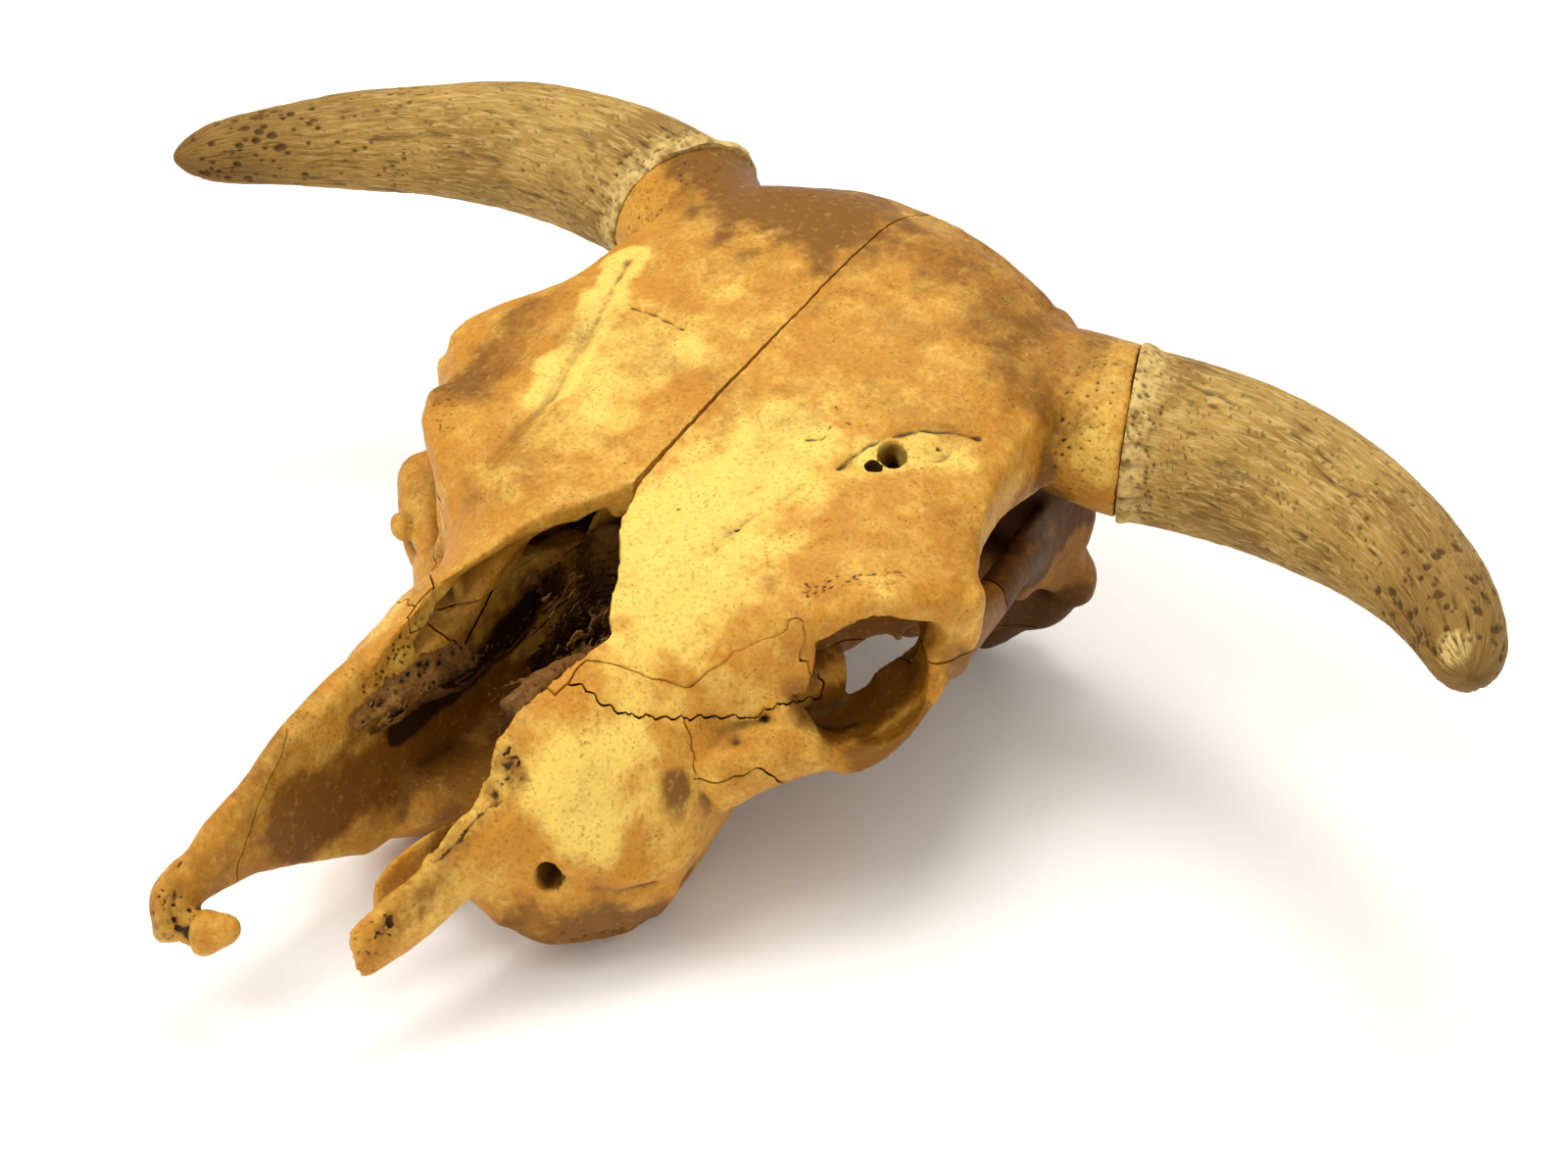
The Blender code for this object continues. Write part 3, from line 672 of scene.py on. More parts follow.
@dataclass
class SkullBlank:
    """Every outer form of the skull without its horn cores, before it is hollowed."""

    rim_radius: float = 13.0
    rim_inset: float = 11.0
    rim_flatness: float = 0.42
    drawing: Drawing = field(default_factory=Drawing)

    def build(self) -> Solid:
        """Draw every form and weld them.

        Returns:
            The welded blank.
        """
        self.roof()
        self.face()
        self.snout()
        self.braincase()
        for side in Side:
            self.orbit(side)
            self.arch_and_ear(side)
            self.horn_root(side)
        blank = self.drawing.solid("blank")
        Workshop.weld(blank, GRAIN, BODY_SOFTNESS)
        return blank

    def roof(self) -> None:
        """Forehead plate, from the edge of the nose to the poll."""
        rings = []
        half = RING_POINTS // 2
        for station in ROOF:
            fall = station.crown - station.edge
            ring = []
            for index in range(half + 1):
                u = math.cos(math.pi * index / half)
                z = station.crown - fall * abs(u) ** station.fullness
                ring.append((u * station.half_width, station.y, z))
            for index in range(1, half):
                u = -math.cos(math.pi * index / half)
                z = station.edge - station.depth * (1 - 0.3 * abs(u) ** 4)
                ring.append((u * station.half_width, station.y, z))
            rings.append(ring)
        self.drawing.loft(filled_in(rings))

    def face(self) -> None:
        """Cheeks, tooth sockets and palate."""
        rings = []
        for station in FACE:
            half = [Vector((x, station.y, z)) for x, z in
                    (station.nasal, station.cheek, station.crest,
                     station.socket_outer, station.socket_inner)]
            middle = Vector((0, station.y, station.palate))
            ridge = Vector((0, station.y, station.nasal[1] + 4))
            rings.append(closed_curve([*half, middle, *mirrored(half), ridge], RING_POINTS))
        self.drawing.loft(filled_in(rings))

    def snout(self) -> None:
        """Toothless front of the left maxilla, and on the right the bones to the muzzle."""
        draw = self.drawing
        draw.tube(sided(Side.LEFT, (45, -106, 72), (41, -121, 66), (37, -138, 58),
                  (34, -153, 51), (31, -167, 47), (27, -183, 44)), (13, 11, 9, 9, 9, 9),
                  flatten=1.55)
        draw.tube(sided(Side.LEFT, (46, -108, 40), (45, -117, 34), (44, -126, 29)), (5, 4.5, 3.5))
        plate = ((-100, 38, 26, 112), (-116, 36, 20, 109), (-130, 34, 27, 106),
                 (-147, 32, 34, 102), (-160, 31, 41, 97), (-175, 31, 47, 88),
                 (-190, 32, 49, 80), (-202, 35, 47, 68), (-210, 37, 42, 58))
        rings = []
        for y, x, low, high in plate:
            half = 7.5 if y < -185 else 6.5
            corners = [Vector((-x + sx * half, y, z)) for sx, z in
                       ((1, low + 8), (0.6, low), (-0.6, low), (-1, low + 8),
                        (-1, high - 10), (-0.4, high), (0.4, high), (1, high - 10))]
            rings.append(closed_curve(corners, RING_POINTS))
        draw.loft(filled_in(rings))
        draw.tube(sided(Side.RIGHT, (36, -198, 60), (38, -208, 50), (32, -212, 43)), (9, 10, 9))

    def braincase(self) -> None:
        """Braincase, nape plate and the skull base on the midline."""
        draw = self.drawing
        draw.knob((0, 128, 118), (60, 88, 62))
        draw.knob((0, 50, 98), (40, 80, 50))
        nape = ((55, 60, 160, 184), (78, 88, 160, 194), (108, 88, 160, 199),
                (140, 80, 160, 203), (162, 78, 165, 205), (174, 74, 168, 202))
        rings = []
        for z, half_width, front, back in nape:
            half = [Vector(p) for p in ((half_width, front, z), (half_width, back - 8, z),
                                        (half_width * 0.45, back, z))]
            behind, before = Vector((0, back - 2, z)), Vector((0, front - 4, z))
            rings.append(closed_curve([*half, behind, *mirrored(half), before], RING_POINTS))
        draw.loft(filled_in(rings))
        draw.tube(((0, 196, 66), (0, 170, 58), (0, 135, 52), (0, 100, 56)), (22, 20, 18, 18), 0.7)

    def orbit(self, side: Side) -> None:
        """Bony ring round one eye and the roots that carry it.

        Args:
            side: the side of the animal.
        """
        draw = self.drawing
        inward = Vector((-side.value * ORBIT_LOOKS[0], -ORBIT_LOOKS[1], 0))
        corners = sided(side, (92, -25, 105), (91, -24, 118), (95, -19, 135), (107, -8, 141),
                        (117, 5, 144), (125, 16, 142), (131, 24, 136), (133, 29, 121),
                        (132, 27, 106), (132, 12, 94), (127, -4, 83), (118, -12, 76),
                        (109, -19, 79), (101, -22, 88), (95, -25, 98))
        rim = closed_curve([point + inward * self.rim_inset for point in corners], RING_POINTS)
        draw.tube(rim + rim[:2], [self.rim_radius] * (RING_POINTS + 2),
                  flatten=self.rim_flatness, across=inward)
        draw.tube(sided(side, (76, -50, 72), (90, -32, 80), (106, -16, 82)), (15, 13, 9))
        draw.tube(sided(side, (58, -46, 98), (69, -29, 100), (80, -12, 108)), (14, 15, 15))
        draw.tube(sided(side, (127, 38, 140), (126, 40, 118), (120, 42, 98)), (10, 9, 9), 1.3,
                  across=(0, 1, 0))

    def arch_and_ear(self, side: Side) -> None:
        """Cheek arch, ear region, condyle and the wings of the skull base on one side.

        Args:
            side: the side of the animal.
        """
        draw = self.drawing
        draw.tube(sided(side, (127, 20, 106), (122, 44, 104), (116, 68, 100), (110, 92, 98),
                  (104, 122, 101), (99, 148, 96)), (8, 9, 8.5, 8, 7, 8), flatten=1.2)
        draw.tube(sided(side, (104, 112, 99), (97, 140, 97), (92, 168, 90), (94, 190, 78)),
                  (8, 16, 23, 25), 0.30, across=(0, 0, 1))
        draw.tube(sided(side, (82, 188, 100), (85, 190, 78), (93, 190, 60), (96, 189, 47)),
                  (9, 10, 13, 9))
        draw.tube(sided(side, (64, 186, 60), (66, 187, 38), (60, 186, 20), (53, 183, 4)),
                  (22, 19, 14, 6), flatten=1.2)
        draw.tube(sided(side, (88, 188, 52), (80, 187, 37), (72, 186, 31)), (13, 13, 11))
        draw.knob((side.value * 28, 200, 66), (19, 18, 26), turn=(-15, side.value * 15, 0))
        draw.knob((side.value * 42, 146, 42), (14, 20, 18))
        draw.tube(sided(side, (60, 150, 74), (92, 158, 76)), (16, 12))
        draw.tube(sided(side, (22, 18, 44), (21, 40, 34), (22, 66, 36), (28, 96, 52)),
                  (9, 8, 7, 12), flatten=2.2)

    def horn_root(self, side: Side) -> None:
        """Stalk of forehead bone that carries one horn core.

        Args:
            side: the side of the animal.
        """
        horn = HORN_CORES[side]
        base = Vector(horn.base) + Vector((0, 0, TWIST * horn.base[0]))
        beyond = base + horn.way(horn.burr) * 12
        root = sided(side, (70, 160, 155), (98, 168, 155))
        self.drawing.tube([*root, base, beyond], (34, 35, horn.girth[0], horn.girth[0]))


@dataclass
class Openings:
    """Everything that is open in the real skull, as one cutting tool."""

    orbit_centre: Point = (106, 8, 110)
    orbit_radii: Point = (39, 25, 29)
    drawing: Drawing = field(default_factory=Drawing)

    def build(self) -> Solid:
        """Draw and weld the tool.

        Returns:
            The welded tool.
        """
        self.nose()
        self.notch()
        for side in Side:
            turn = -math.degrees(math.atan2(-ORBIT_LOOKS[1], ORBIT_LOOKS[0])) * side.value
            x, y, z = self.orbit_centre
            self.drawing.knob((side.value * x, y, z), self.orbit_radii, turn=(0, 0, turn))
        self.drawing.tube(((0, 240, 86), (0, 198, 86), (0, 170, 90), (0, 140, 104)),
                          (20, 19, 18, 24))
        tool = self.drawing.solid("openings")
        Workshop.weld(tool, GRAIN, CAVITY_SOFTNESS)
        return tool

    def nose(self) -> None:
        """Nose passage, open in front where the nasal bones are lost."""
        passage = ((-250, 29, 26, -20, 200), (-180, 28, 24, -20, 200), (-150, 31, 25, -20, 200),
                   (-112, 33, 29, -20, 200), (-104, 33, 30, 30, 200), (-98, 33, 31, 52, 200),
                   (-76, 35, 35, 50, 200), (-50, 37, 37, 50, 122), (-20, 37, 37, 50, 132),
                   (4, 34, 34, 54, 134), (18, 26, 26, 66, 122))
        rings = []
        for y, left, right, low, high in passage:
            corners = [Vector(p) for p in ((left, y, low + 14), (left * 0.7, y, low),
                                           (-right * 0.7, y, low), (-right, y, low + 14),
                                           (-right, y, high - 16), (-right * 0.6, y, high),
                                           (left * 0.6, y, high), (left, y, high - 16))]
            rings.append(closed_curve(corners, RING_POINTS))
        self.drawing.loft(rings)

    def notch(self) -> None:
        """Bay between the foreheads where the two nasal bones were seated."""
        half = ((0, 4), (10, -20), (24, -38), (33, -53), (38, -72), (30, -90))
        steps = np.linspace(0, len(half) - 1, 48)
        xs = np.interp(steps, range(len(half)), [x for x, _ in half])
        ys = np.interp(steps, range(len(half)), [y for _, y in half])
        left = xs + stitches(steps * 22, 3.6, 2.0, seed=5) * ease(0, 1, steps)
        right = xs + stitches(steps * 22, 6.0, 1.2, seed=6) * ease(0, 1, steps)
        outline = [(x, y, 100) for x, y in zip(left, ys)]
        outline += [(-x, y, 100) for x, y in list(zip(right, ys))[:0:-1]]
        self.drawing.prism(outline, (0, 0, 100))
        self.drawing.tube(((-8, -6, 137), (-24, -36, 126), (-35, -53, 115), (-40, -72, 107),
                          (-39, -88, 102)), (5, 8, 8.5, 7, 4))


@dataclass
class Linings:
    """Walls that stand inside the openings: they are drawn once those are cut."""

    SOCKET = (                       # outer and inner edge of the floor and back of the orbit
        ((129, 26, 137), (110, 39, 124)), ((131, 30, 121), (110, 39, 114)),
        ((130, 29, 105), (110, 38, 105)), ((128, 15, 93), (101, 27, 95)),
        ((122, 0, 84), (98, 23, 87)), ((113, -8, 78), (93, 17, 84)),
        ((104, -15, 80), (88, 10, 83)), ((96, -18, 88), (81, 2, 84)),
    )
    SOCKET_WALL = 4.5                # thickness of that wall, mm
    SOCKET_SAG = 0.7                 # how hollow it is, for each mm of its thickness

    drawing: Drawing = field(default_factory=Drawing)

    def build(self) -> Solid:
        """Draw every wall.

        Returns:
            The walls, not yet joined to the skull.
        """
        draw = self.drawing
        for side in Side:
            draw.tube(sided(side, (79, 6, 126), (80, 14, 118), (83, 25, 116), (90, 31, 120),
                      (98, 38, 121), (104, 45, 124), (110, 52, 130)),
                      (10, 21, 22, 19, 18, 16, 13), 0.17, across=(0, 0, 1))
            draw.tube(sided(side, (99, 38, 114), (101, 39, 106), (102, 40, 101)), (5, 3, 1.8),
                      0.5, across=(0.6, 0.8, 0))
            draw.tube(sided(side, (72, -22, 94), (78, 0, 91), (82, 17, 88), (85, 22, 87)),
                      (10, 11, 13, 11), 1.1)
            draw.tube(sided(side, (44, -56, 104), (50, -28, 110), (54, 0, 111), (54, 30, 107),
                      (53, 52, 104)), (12, 17, 22, 26, 25), 0.15, across=(0, 0, 1))
            draw.tube(sided(side, (94, -19, 140), (94, -18, 124), (92, -20, 106)), (7, 7, 7),
                      0.5, across=(side.value * 0.81, 0.585, 0))
            self.socket(side)
        draw.tube(sided(Side.LEFT, (9, -86, 46), (10, -100, 45), (11.5, -112, 43),
                  (12.5, -128, 41), (13, -145, 42), (13, -155, 43)), (5, 9, 14, 17, 14, 8),
                  0.22, across=(0, 0, 1))
        draw.tube(sided(Side.RIGHT, (38, -208, 50), (32, -212, 43), (23, -209, 43),
                  (15.5, -205, 46), (12, -203, 47.5), (9.5, -202, 48.5)), (8, 9, 8.5, 7, 5.5, 3))
        draw.tube(((-130, 32, 104), (-138, 22, 96), (-127, 10, 92), (-113, -2, 88),
                  (-103, -12, 84)), (7, 12, 12, 11, 8))
        draw.knob((-122, -13, 90), (6, 5, 6))
        return draw.solid("linings")

    def socket(self, side: Side) -> None:
        """Floor and back wall of one orbit, a strip that narrows inwards.

        Args:
            side: the side of the animal.
        """
        middle = Vector((side.value * 112, 4, 110))
        rings = []
        for edges in self.SOCKET:
            outer, inner = sided(side, *edges)
            away = (outer.lerp(inner, 0.5) - middle).normalized() * self.SOCKET_WALL
            sag = away * self.SOCKET_SAG
            rings.append([outer, outer.lerp(inner, 0.5) + sag, inner, inner + sag,
                          outer.lerp(inner, 0.5) + sag + away, outer + away])
        self.drawing.loft(filled_in(rings, 3))


# ---- work one by one ----

class Profile(Enum):
    """Cross-section of a mark."""

    ROUND = "round"
    SHARP = "sharp"


@dataclass(frozen=True)
class Mark:
    """One groove, ridge, crack or dent along a path on the skin."""

    name: str
    path: Path
    width: float               # half width, mm
    depth: float               # how deep it is cut; a ridge has a negative depth, mm
    profile: Profile = Profile.ROUND
    wander: float = 0.0        # how much the line strays, mm


MARKS = (
    Mark("basin of the left foramen", ((70, 50, 165), (80, 62, 167), (92, 76, 168)), 13, 2.6),
    Mark("crease over the basin", ((66, 43, 165), (68, 59, 169), (73, 70, 171), (80, 80, 171),
         (88, 88, 170), (97, 95, 167)), 2.6, 1.7, Profile.SHARP, 0.8),
    Mark("lower lip of the basin", ((79, 48, 164), (88, 59, 165), (95, 73, 165), (98, 87, 166)),
         3.0, -1.2, wander=0.6),
    Mark("groove towards the nose", ((61, 40, 164), (56, 23, 158), (50, 6, 152),
         (47, -15, 148)), 7, 1.3, wander=2.0),
    Mark("ridge beside that groove", ((76, 47, 164), (68, 24, 158), (63, 4, 151),
         (58, -19, 146)), 7, -1.0, wander=2.0),
    Mark("short scratches", ((43, 63, 173), (46, 68, 174), (50, 65, 173), (57, 63, 172)),
         1.2, 0.9, Profile.SHARP, 0.8),
    Mark("short scratches", ((51, 58, 171), (53, 51, 168), (48, 48, 168)),
         1.2, 0.9, Profile.SHARP, 0.8),
    Mark("hairline", ((66, -2, 150), (72, -9, 147)), 1.0, 0.7, Profile.SHARP),
    Mark("nick", ((24, -3, 151),), 1.4, 1.2),
    Mark("nick", ((50, 1, 151),), 1.4, 1.2),
    Mark("nick", ((90, 78, 168),), 1.6, 1.4),
    Mark("scratch on the right", ((-67, 78, 175), (-55, 78, 177), (-37, 75, 178)),
         1.3, 1.0, Profile.SHARP, 0.5),
    Mark("groove of the right foramen", ((-94, 107, 177), (-76, 63, 170), (-67, 25, 158),
         (-62, -17, 146)), 8, 2.6, wander=2.0),
    Mark("ridge beside it", ((-108, 92, 168), (-92, 58, 164), (-80, 20, 154), (-74, -16, 145)),
         7, -1.4, wander=2.0),
    Mark("poll ridge", ((-70, 190, 190), (-30, 198, 194), (20, 198, 192), (70, 186, 178)),
         10, -2.0, wander=2.0),
    Mark("facial crest", ((81, -60, 52), (80, -75, 48), (74, -92, 48)), 8, -2.6, wander=1.5),
    Mark("bulge of a root", ((62, -100, 40), (64, -94, 20)), 6, -1.8),
    Mark("bulge of a root", ((66, -84, 40), (64, -80, 14)), 6, -1.6),
    Mark("bulge of a root", ((70, -68, 34), (66, -64, 12)), 6, -1.6),
    Mark("hollow over the roots", ((57, -110, 52), (68, -97, 44), (76, -80, 44)),
         6, 1.2, wander=1.5),
    Mark("edge of the sockets", ((50, -114, 22), (57, -94, 12), (58, -70, 5)),
         3.5, -1.2, wander=1.0),
    Mark("wall beside the broken bar", ((30, -111, 103), (27, -124, 88), (24, -138, 74),
         (22, -153, 62), (21, -170, 57)), 3.0, -1.8, wander=0.8),
    Mark("channel of the broken bar", ((35, -112, 99), (33, -124, 84), (30, -138, 70),
         (27, -153, 60), (26, -172, 53)), 5.0, 2.6, wander=2.2),
    Mark("ridge of the broken bar", ((36, -112, 98), (34, -125, 84), (31, -139, 71),
         (29, -153, 60), (27, -172, 53)), 1.6, -1.5, wander=1.2),
    Mark("prong of the broken bar", ((33, -111, 102), (31, -116, 95)), 1.5, 1.8),
    Mark("prong of the broken bar", ((38, -111, 98), (36, -116, 91)), 1.5, 1.8),
    Mark("rear edge of the orbit", ((126, 34, 142), (127, 38, 128), (124, 42, 112)), 5, -1.2),
    Mark("upper edge of the orbit", ((100, -6, 146), (112, 8, 149), (124, 22, 147)),
         5, -1.2, wander=1.0),
    Mark("groove of the cheek", ((84, -40, 84), (98, -26, 78), (110, -14, 76)),
         5, 1.6, wander=1.0),
    Mark("step on the right snout", ((-46, -205, 66), (-40, -214, 50), (-30, -214, 42)),
         2.4, 1.8, wander=1.4),
    Mark("median swelling of the nape", ((0, 205, 180), (0, 204, 150), (0, 202, 110)),
         8, -2.4, wander=2.0),
    Mark("nape line left", ((70, 190, 168), (78, 194, 140), (80, 194, 100)), 8, -2.4, wander=2.0),
    Mark("nape line right", ((-70, 190, 178), (-78, 194, 150), (-80, 194, 110)),
         8, -2.4, wander=2.0),
    Mark("palate seam", ((0, -90, 40), (0, -50, 38), (0, 0, 38)), 2, 1.6, wander=1.0),
)


@dataclass(frozen=True)
class PitField:
    """A patch of eroded bone with many small pits."""

    name: str
    path: Path
    reach: float               # how far the patch spreads from its path, mm
    count: int
    radius: Pair
    depth: float


PIT_FIELDS = (
    PitField("upper rim of the left orbit", ((93, -7, 145), (98, -3, 146), (103, 3, 148),
             (111, 9, 148), (118, 18, 149)), 4.5, 70, (0.6, 1.3), 1.3),
    PitField("upper rim of the right orbit", ((-95, -7, 145), (-111, 9, 148)),
             4.5, 36, (0.6, 1.3), 1.3),
    PitField("broken bar", ((35, -113, 97), (34, -127, 82), (31, -139, 70), (28, -152, 60),
             (26, -172, 53)), 6, 170, (0.6, 1.2), 0.8),
    PitField("end of the broken bar", ((24, -172, 52), (20, -182, 48), (20, -186, 42)),
             9, 70, (0.7, 1.6), 1.6),
    PitField("edge of the right maxilla", ((-36, -84, 111), (-35, -112, 99)), 7, 60, (0.8, 1.6),
             1.5),
    PitField("right muzzle tip", ((-42, -214, 53), (-35, -214, 48), (-34, -210, 40)),
             7, 60, (0.6, 1.4), 1.6),
    PitField("root of the left horn", ((112, 158, 176), (118, 146, 160), (118, 142, 140)),
             10, 60, (0.8, 1.5), 1.1),
    PitField("root of the right horn", ((-104, 170, 196), (-108, 158, 186), (-112, 156, 165)),
             10, 60, (0.8, 1.5), 1.1),
    PitField("poll", ((-60, 180, 192), (0, 192, 196), (60, 176, 182)), 22, 150, (0.7, 1.3), 0.8),
    PitField("cheek sockets left", ((56, -108, 18), (60, -60, 3)), 8, 60, (0.8, 1.8), 1.4),
    PitField("cheek sockets right", ((-60, -108, 18), (-61, -60, 3)), 8, 60, (0.8, 1.8), 1.4),
)


@dataclass
class Carver:
    """Works the marks of age, muscle and breakage into the skin of the skull."""

    skin: Skin

    LUMPS = ((26, 0.8, 11), (9, 0.32, 12), (3.4, 0.13, 13))    # size, height and seed
    HOLLOW_REACH = {"hollow": 2.2, "sunken": 6.0}              # mm
    MOST_PASSES = 90

    def work(self) -> None:
        """Cut every mark and pit, and store what the finishes need to know."""
        skin = self.skin
        before = skin.points.copy()
        for size, height, seed in self.LUMPS:
            skin.push(LatticeNoise(seed).at(skin.points, size) * height)
        skin.refresh()
        for index, mark in enumerate(MARKS):
            skin.push(-self.depth_of(mark, MARK_SEED + index))
        skin.refresh()
        for index, patch in enumerate(PIT_FIELDS):
            self.pit(patch, PIT_SEED + index)
        skin.points[:, 2] = np.maximum(skin.points[:, 2], FLOOR_CLEARANCE)
        skin.refresh()
        self.read_hollows()
        LOG.info("skin moved by up to %.1f mm", np.abs(skin.points - before).max())

    def depth_of(self, mark: Mark, seed: int) -> Array:
        """Work out how deep one mark goes.

        Args:
            mark: the mark.
            seed: which way its line strays.

        Returns:
            Its depth at each point of the skin, mm.
        """
        skin = self.skin
        distance = skin.reach(mark.path, mark.width + mark.wander)
        near = np.isfinite(distance)
        if mark.wander:
            stray = LatticeNoise(seed).at(skin.points[near], max(mark.width, 3) * 1.5)
            distance[near] += stray * mark.wander
        share = np.clip(1 - distance / mark.width, 0, 1)
        share = np.where(near, share, 0)
        if mark.profile is Profile.ROUND:
            share = share * share * (3 - 2 * share)
        return share * mark.depth

    def pit(self, patch: PitField, seed: int) -> None:
        """Press the pits of one patch into the skin.

        Args:
            patch: the patch.
            seed: which random pits.
        """
        skin = self.skin
        random = np.random.default_rng(seed)
        near = np.nonzero(np.isfinite(skin.reach(patch.path, patch.reach)))[0]
        if not len(near):
            LOG.warning("no skin near %s", patch.name)
            return
        local = skin.points[near]
        depth = np.zeros(len(near))
        for centre in random.choice(len(near), patch.count):
            radius = random.uniform(*patch.radius)
            distance = np.sqrt(((local - local[centre]) ** 2).sum(1))
            share = np.clip(1.3 - distance / radius, 0, 1)
            depth = np.maximum(depth, share * patch.depth * random.uniform(0.5, 1))
        skin.points[near] -= skin.normals[near] * depth[:, None]

    def read_hollows(self) -> None:
        """Store how hollow the skin is at each point, close by and over a wider reach."""
        skin = self.skin
        for name, reach in self.HOLLOW_REACH.items():
            passes = max(1, round(4 * reach ** 2 / GRAIN ** 2))
            mean = skin.averaged(skin.points, min(passes, self.MOST_PASSES))
            skin.paint(name, ((mean - skin.points) * skin.normals).sum(1))


# ---- parting ----

@dataclass(frozen=True)
class Suture:
    """How two bones interlock: the open gap, and the pitch and reach of the teeth."""

    gap: float
    pitch: float
    reach: float
    seed: int


@dataclass
class Bones:
    """Parts the hollowed skull into its bones along toothed sutures."""

    blank: Solid
    pieces: dict[str, Solid] = field(default_factory=dict)

    # at each y: width of the gap between the foreheads
    CLEFT = ((-30, 4.0), (4, 3.0), (20, 2.0), (82, 1.3), (103, 0.9), (134, 0.5), (170, 0.3),
             (240, 0.3))
    # at each y: the forehead's outer edge, and its underside near the midline and near the edge
    FOREHEAD = ((-90, 38, 112, 112), (-74, 38, 108, 108), (-64, 51, 106, 106),
                (-50, 65, 106, 106), (-34, 76, 108, 112), (-26, 88, 110, 120),
                (-19, 97, 110, 122), (-8, 170, 112, 114),
                (30, 170, 116, 112), (60, 170, 122, 112), (100, 170, 130, 112),
                (140, 170, 136, 100), (180, 170, 140, 96), (230, 170, 142, 96))
    ORBIT_DIP = ((-19, 0), (-8, 9), (60, 15), (100, 0))   # at each y, its drop in the orbit
    SLAB_OUT = 26                    # how far the lacrimal's slab reaches out of the face, mm
    SLAB_IN = 32                     # and into it
    SUTURES = {
        "median": Suture(0.3, 3.4, 0.28, 21),
        "frontal": Suture(0.9, 6.0, 1.1, 22),
        "lacrimal": Suture(0.9, 3.6, 1.5, 23),
        "zygomatic": Suture(0.9, 4.0, 1.0, 24),
        "temporal": Suture(0.6, 5.0, 1.0, 25),
        "occipital": Suture(0.6, 5.0, 1.2, 26),
        "premaxilla": Suture(0.6, 6.0, 0.7, 27),
        "palate": Suture(0.5, 6.0, 0.6, 28),
    }

    def part(self) -> dict[str, Solid]:
        """Cut every bone free, outer bones first.

        Returns:
            The bones by name.
        """
        Workshop.remove(self.blank, self.cleft())
        for side in Side:
            self.peel("frontal", side, self.forehead(side))
            self.peel("lacrimal", side, self.lacrimal(side))
            self.peel("zygomatic", side, self.flat(
                "zygomatic", ((-56, 104), (-57, 90), (-60, 81), (-52, 82), (-42, 84), (-30, 70),
                              (-24, 50), (95, 50), (95, 116), (20, 125), (-20, 112)),
                *sorted((side.value * 66, side.value * 170))))
            self.peel("temporal", side, self.flat(
                "temporal", ((94, 30), (230, 30), (230, 124), (94, 124)),
                *sorted((side.value * 58, side.value * 170))))
        self.peel("occipital", None, self.flat(
            "occipital", ((124, -5), (230, -5), (230, 142), (176, 142), (150, 104), (150, 64),
                          (124, 64)), -100, 100))
        self.peel("premaxilla", Side.RIGHT, self.flat(
            "premaxilla", ((-134, 130), (-150, 103), (-166, 89), (-173, 82), (-178, 75),
                           (-187, 59), (-192, 10), (-260, 10), (-260, 130)), -120, 8))
        face = ((-230, -20), (14, -20), (14, 150), (-230, 150))
        self.peel("maxilla", Side.LEFT, self.flat("palate", face, 0.25, 150))
        self.peel("maxilla", Side.RIGHT, self.flat("palate", face, -150, -0.25))
        Workshop.keep_largest(self.blank)
        self.blank.name = "braincase_bone"
        self.pieces["braincase"] = self.blank
        return self.pieces

    def peel(self, kind: str, side: Side | None, region: Solid) -> None:
        """Part one bone from the blank and leave its suture open.

        Args:
            kind: the bone's name without its side.
            side: the bone's side, or None on the midline.
            region: the space that the bone fills.
        """
        node = f"{kind}_{side.word}" if side else kind
        suture = self.SUTURES["palate" if kind == "maxilla" else kind]
        bone = self.blank.copy()
        bone.data = self.blank.data.copy()
        bone.name = f"{node}_bone"
        bpy.context.scene.collection.objects.link(bone)
        Workshop.cut(bone, region, Cut.KEEP)
        Workshop.keep_largest(bone)
        Workshop.remove(self.blank, Workshop.grown(region, suture.gap))
        Workshop.discard(region)
        self.pieces[node] = bone
        LOG.info("%s: %d faces", node, len(bone.data.polygons))

    def seam(self, y: Array) -> Array:
        """Give the x of the median suture at each y."""
        suture = self.SUTURES["median"]
        return stitches(y, suture.pitch, suture.reach, suture.seed) + 0.5 * np.sin(y / 31)

    def cleft(self) -> Solid:
        """Gap between the two frontal bones, widest at the nose."""
        drawing = Drawing()
        ys = np.arange(-30, 240, 1.5)
        half = np.interp(ys, *zip(*self.CLEFT)) / 2
        rings = [[(x - w, y, 96), (x + w, y, 96), (x + w, y, 230), (x - w, y, 230)]
                 for x, y, w in zip(self.seam(ys), ys, half)]
        drawing.loft(rings)
        return drawing.solid("cleft")

    def forehead(self, side: Side) -> Solid:
        """Space that one frontal bone fills.

        Args:
            side: the side of the animal.

        Returns:
            The space as a solid.
        """
        drawing = Drawing()
        suture = self.SUTURES["frontal"]
        table = list(zip(*self.FOREHEAD))
        ys = np.arange(table[0][0], table[0][-1] + 1, 2.0)
        outer, inside, outside = (np.interp(ys, table[0], row) for row in table[1:])
        outer = outer + stitches(ys, suture.pitch, suture.reach, suture.seed + side.value)
        rings = []
        dips = np.interp(ys, *zip(*self.ORBIT_DIP))
        for y, far, low, edge, dip, seam in zip(ys, outer, inside, outside, dips,
                                                self.seam(ys)):
            near = seam + side.value * 0.1
            rings.append([(near, y, low), *((side.value * x, y, z) for x, z in
                          ((min(58, far - 12), low), (min(74, far - 10), low - dip),
                           (min(112, far - 8), edge - dip), (min(116, far - 7), edge),
                           (far - 6, edge), (far, edge), (far, 260))),
                          (near, y, 260)])
        drawing.loft(rings)
        return drawing.solid("forehead")

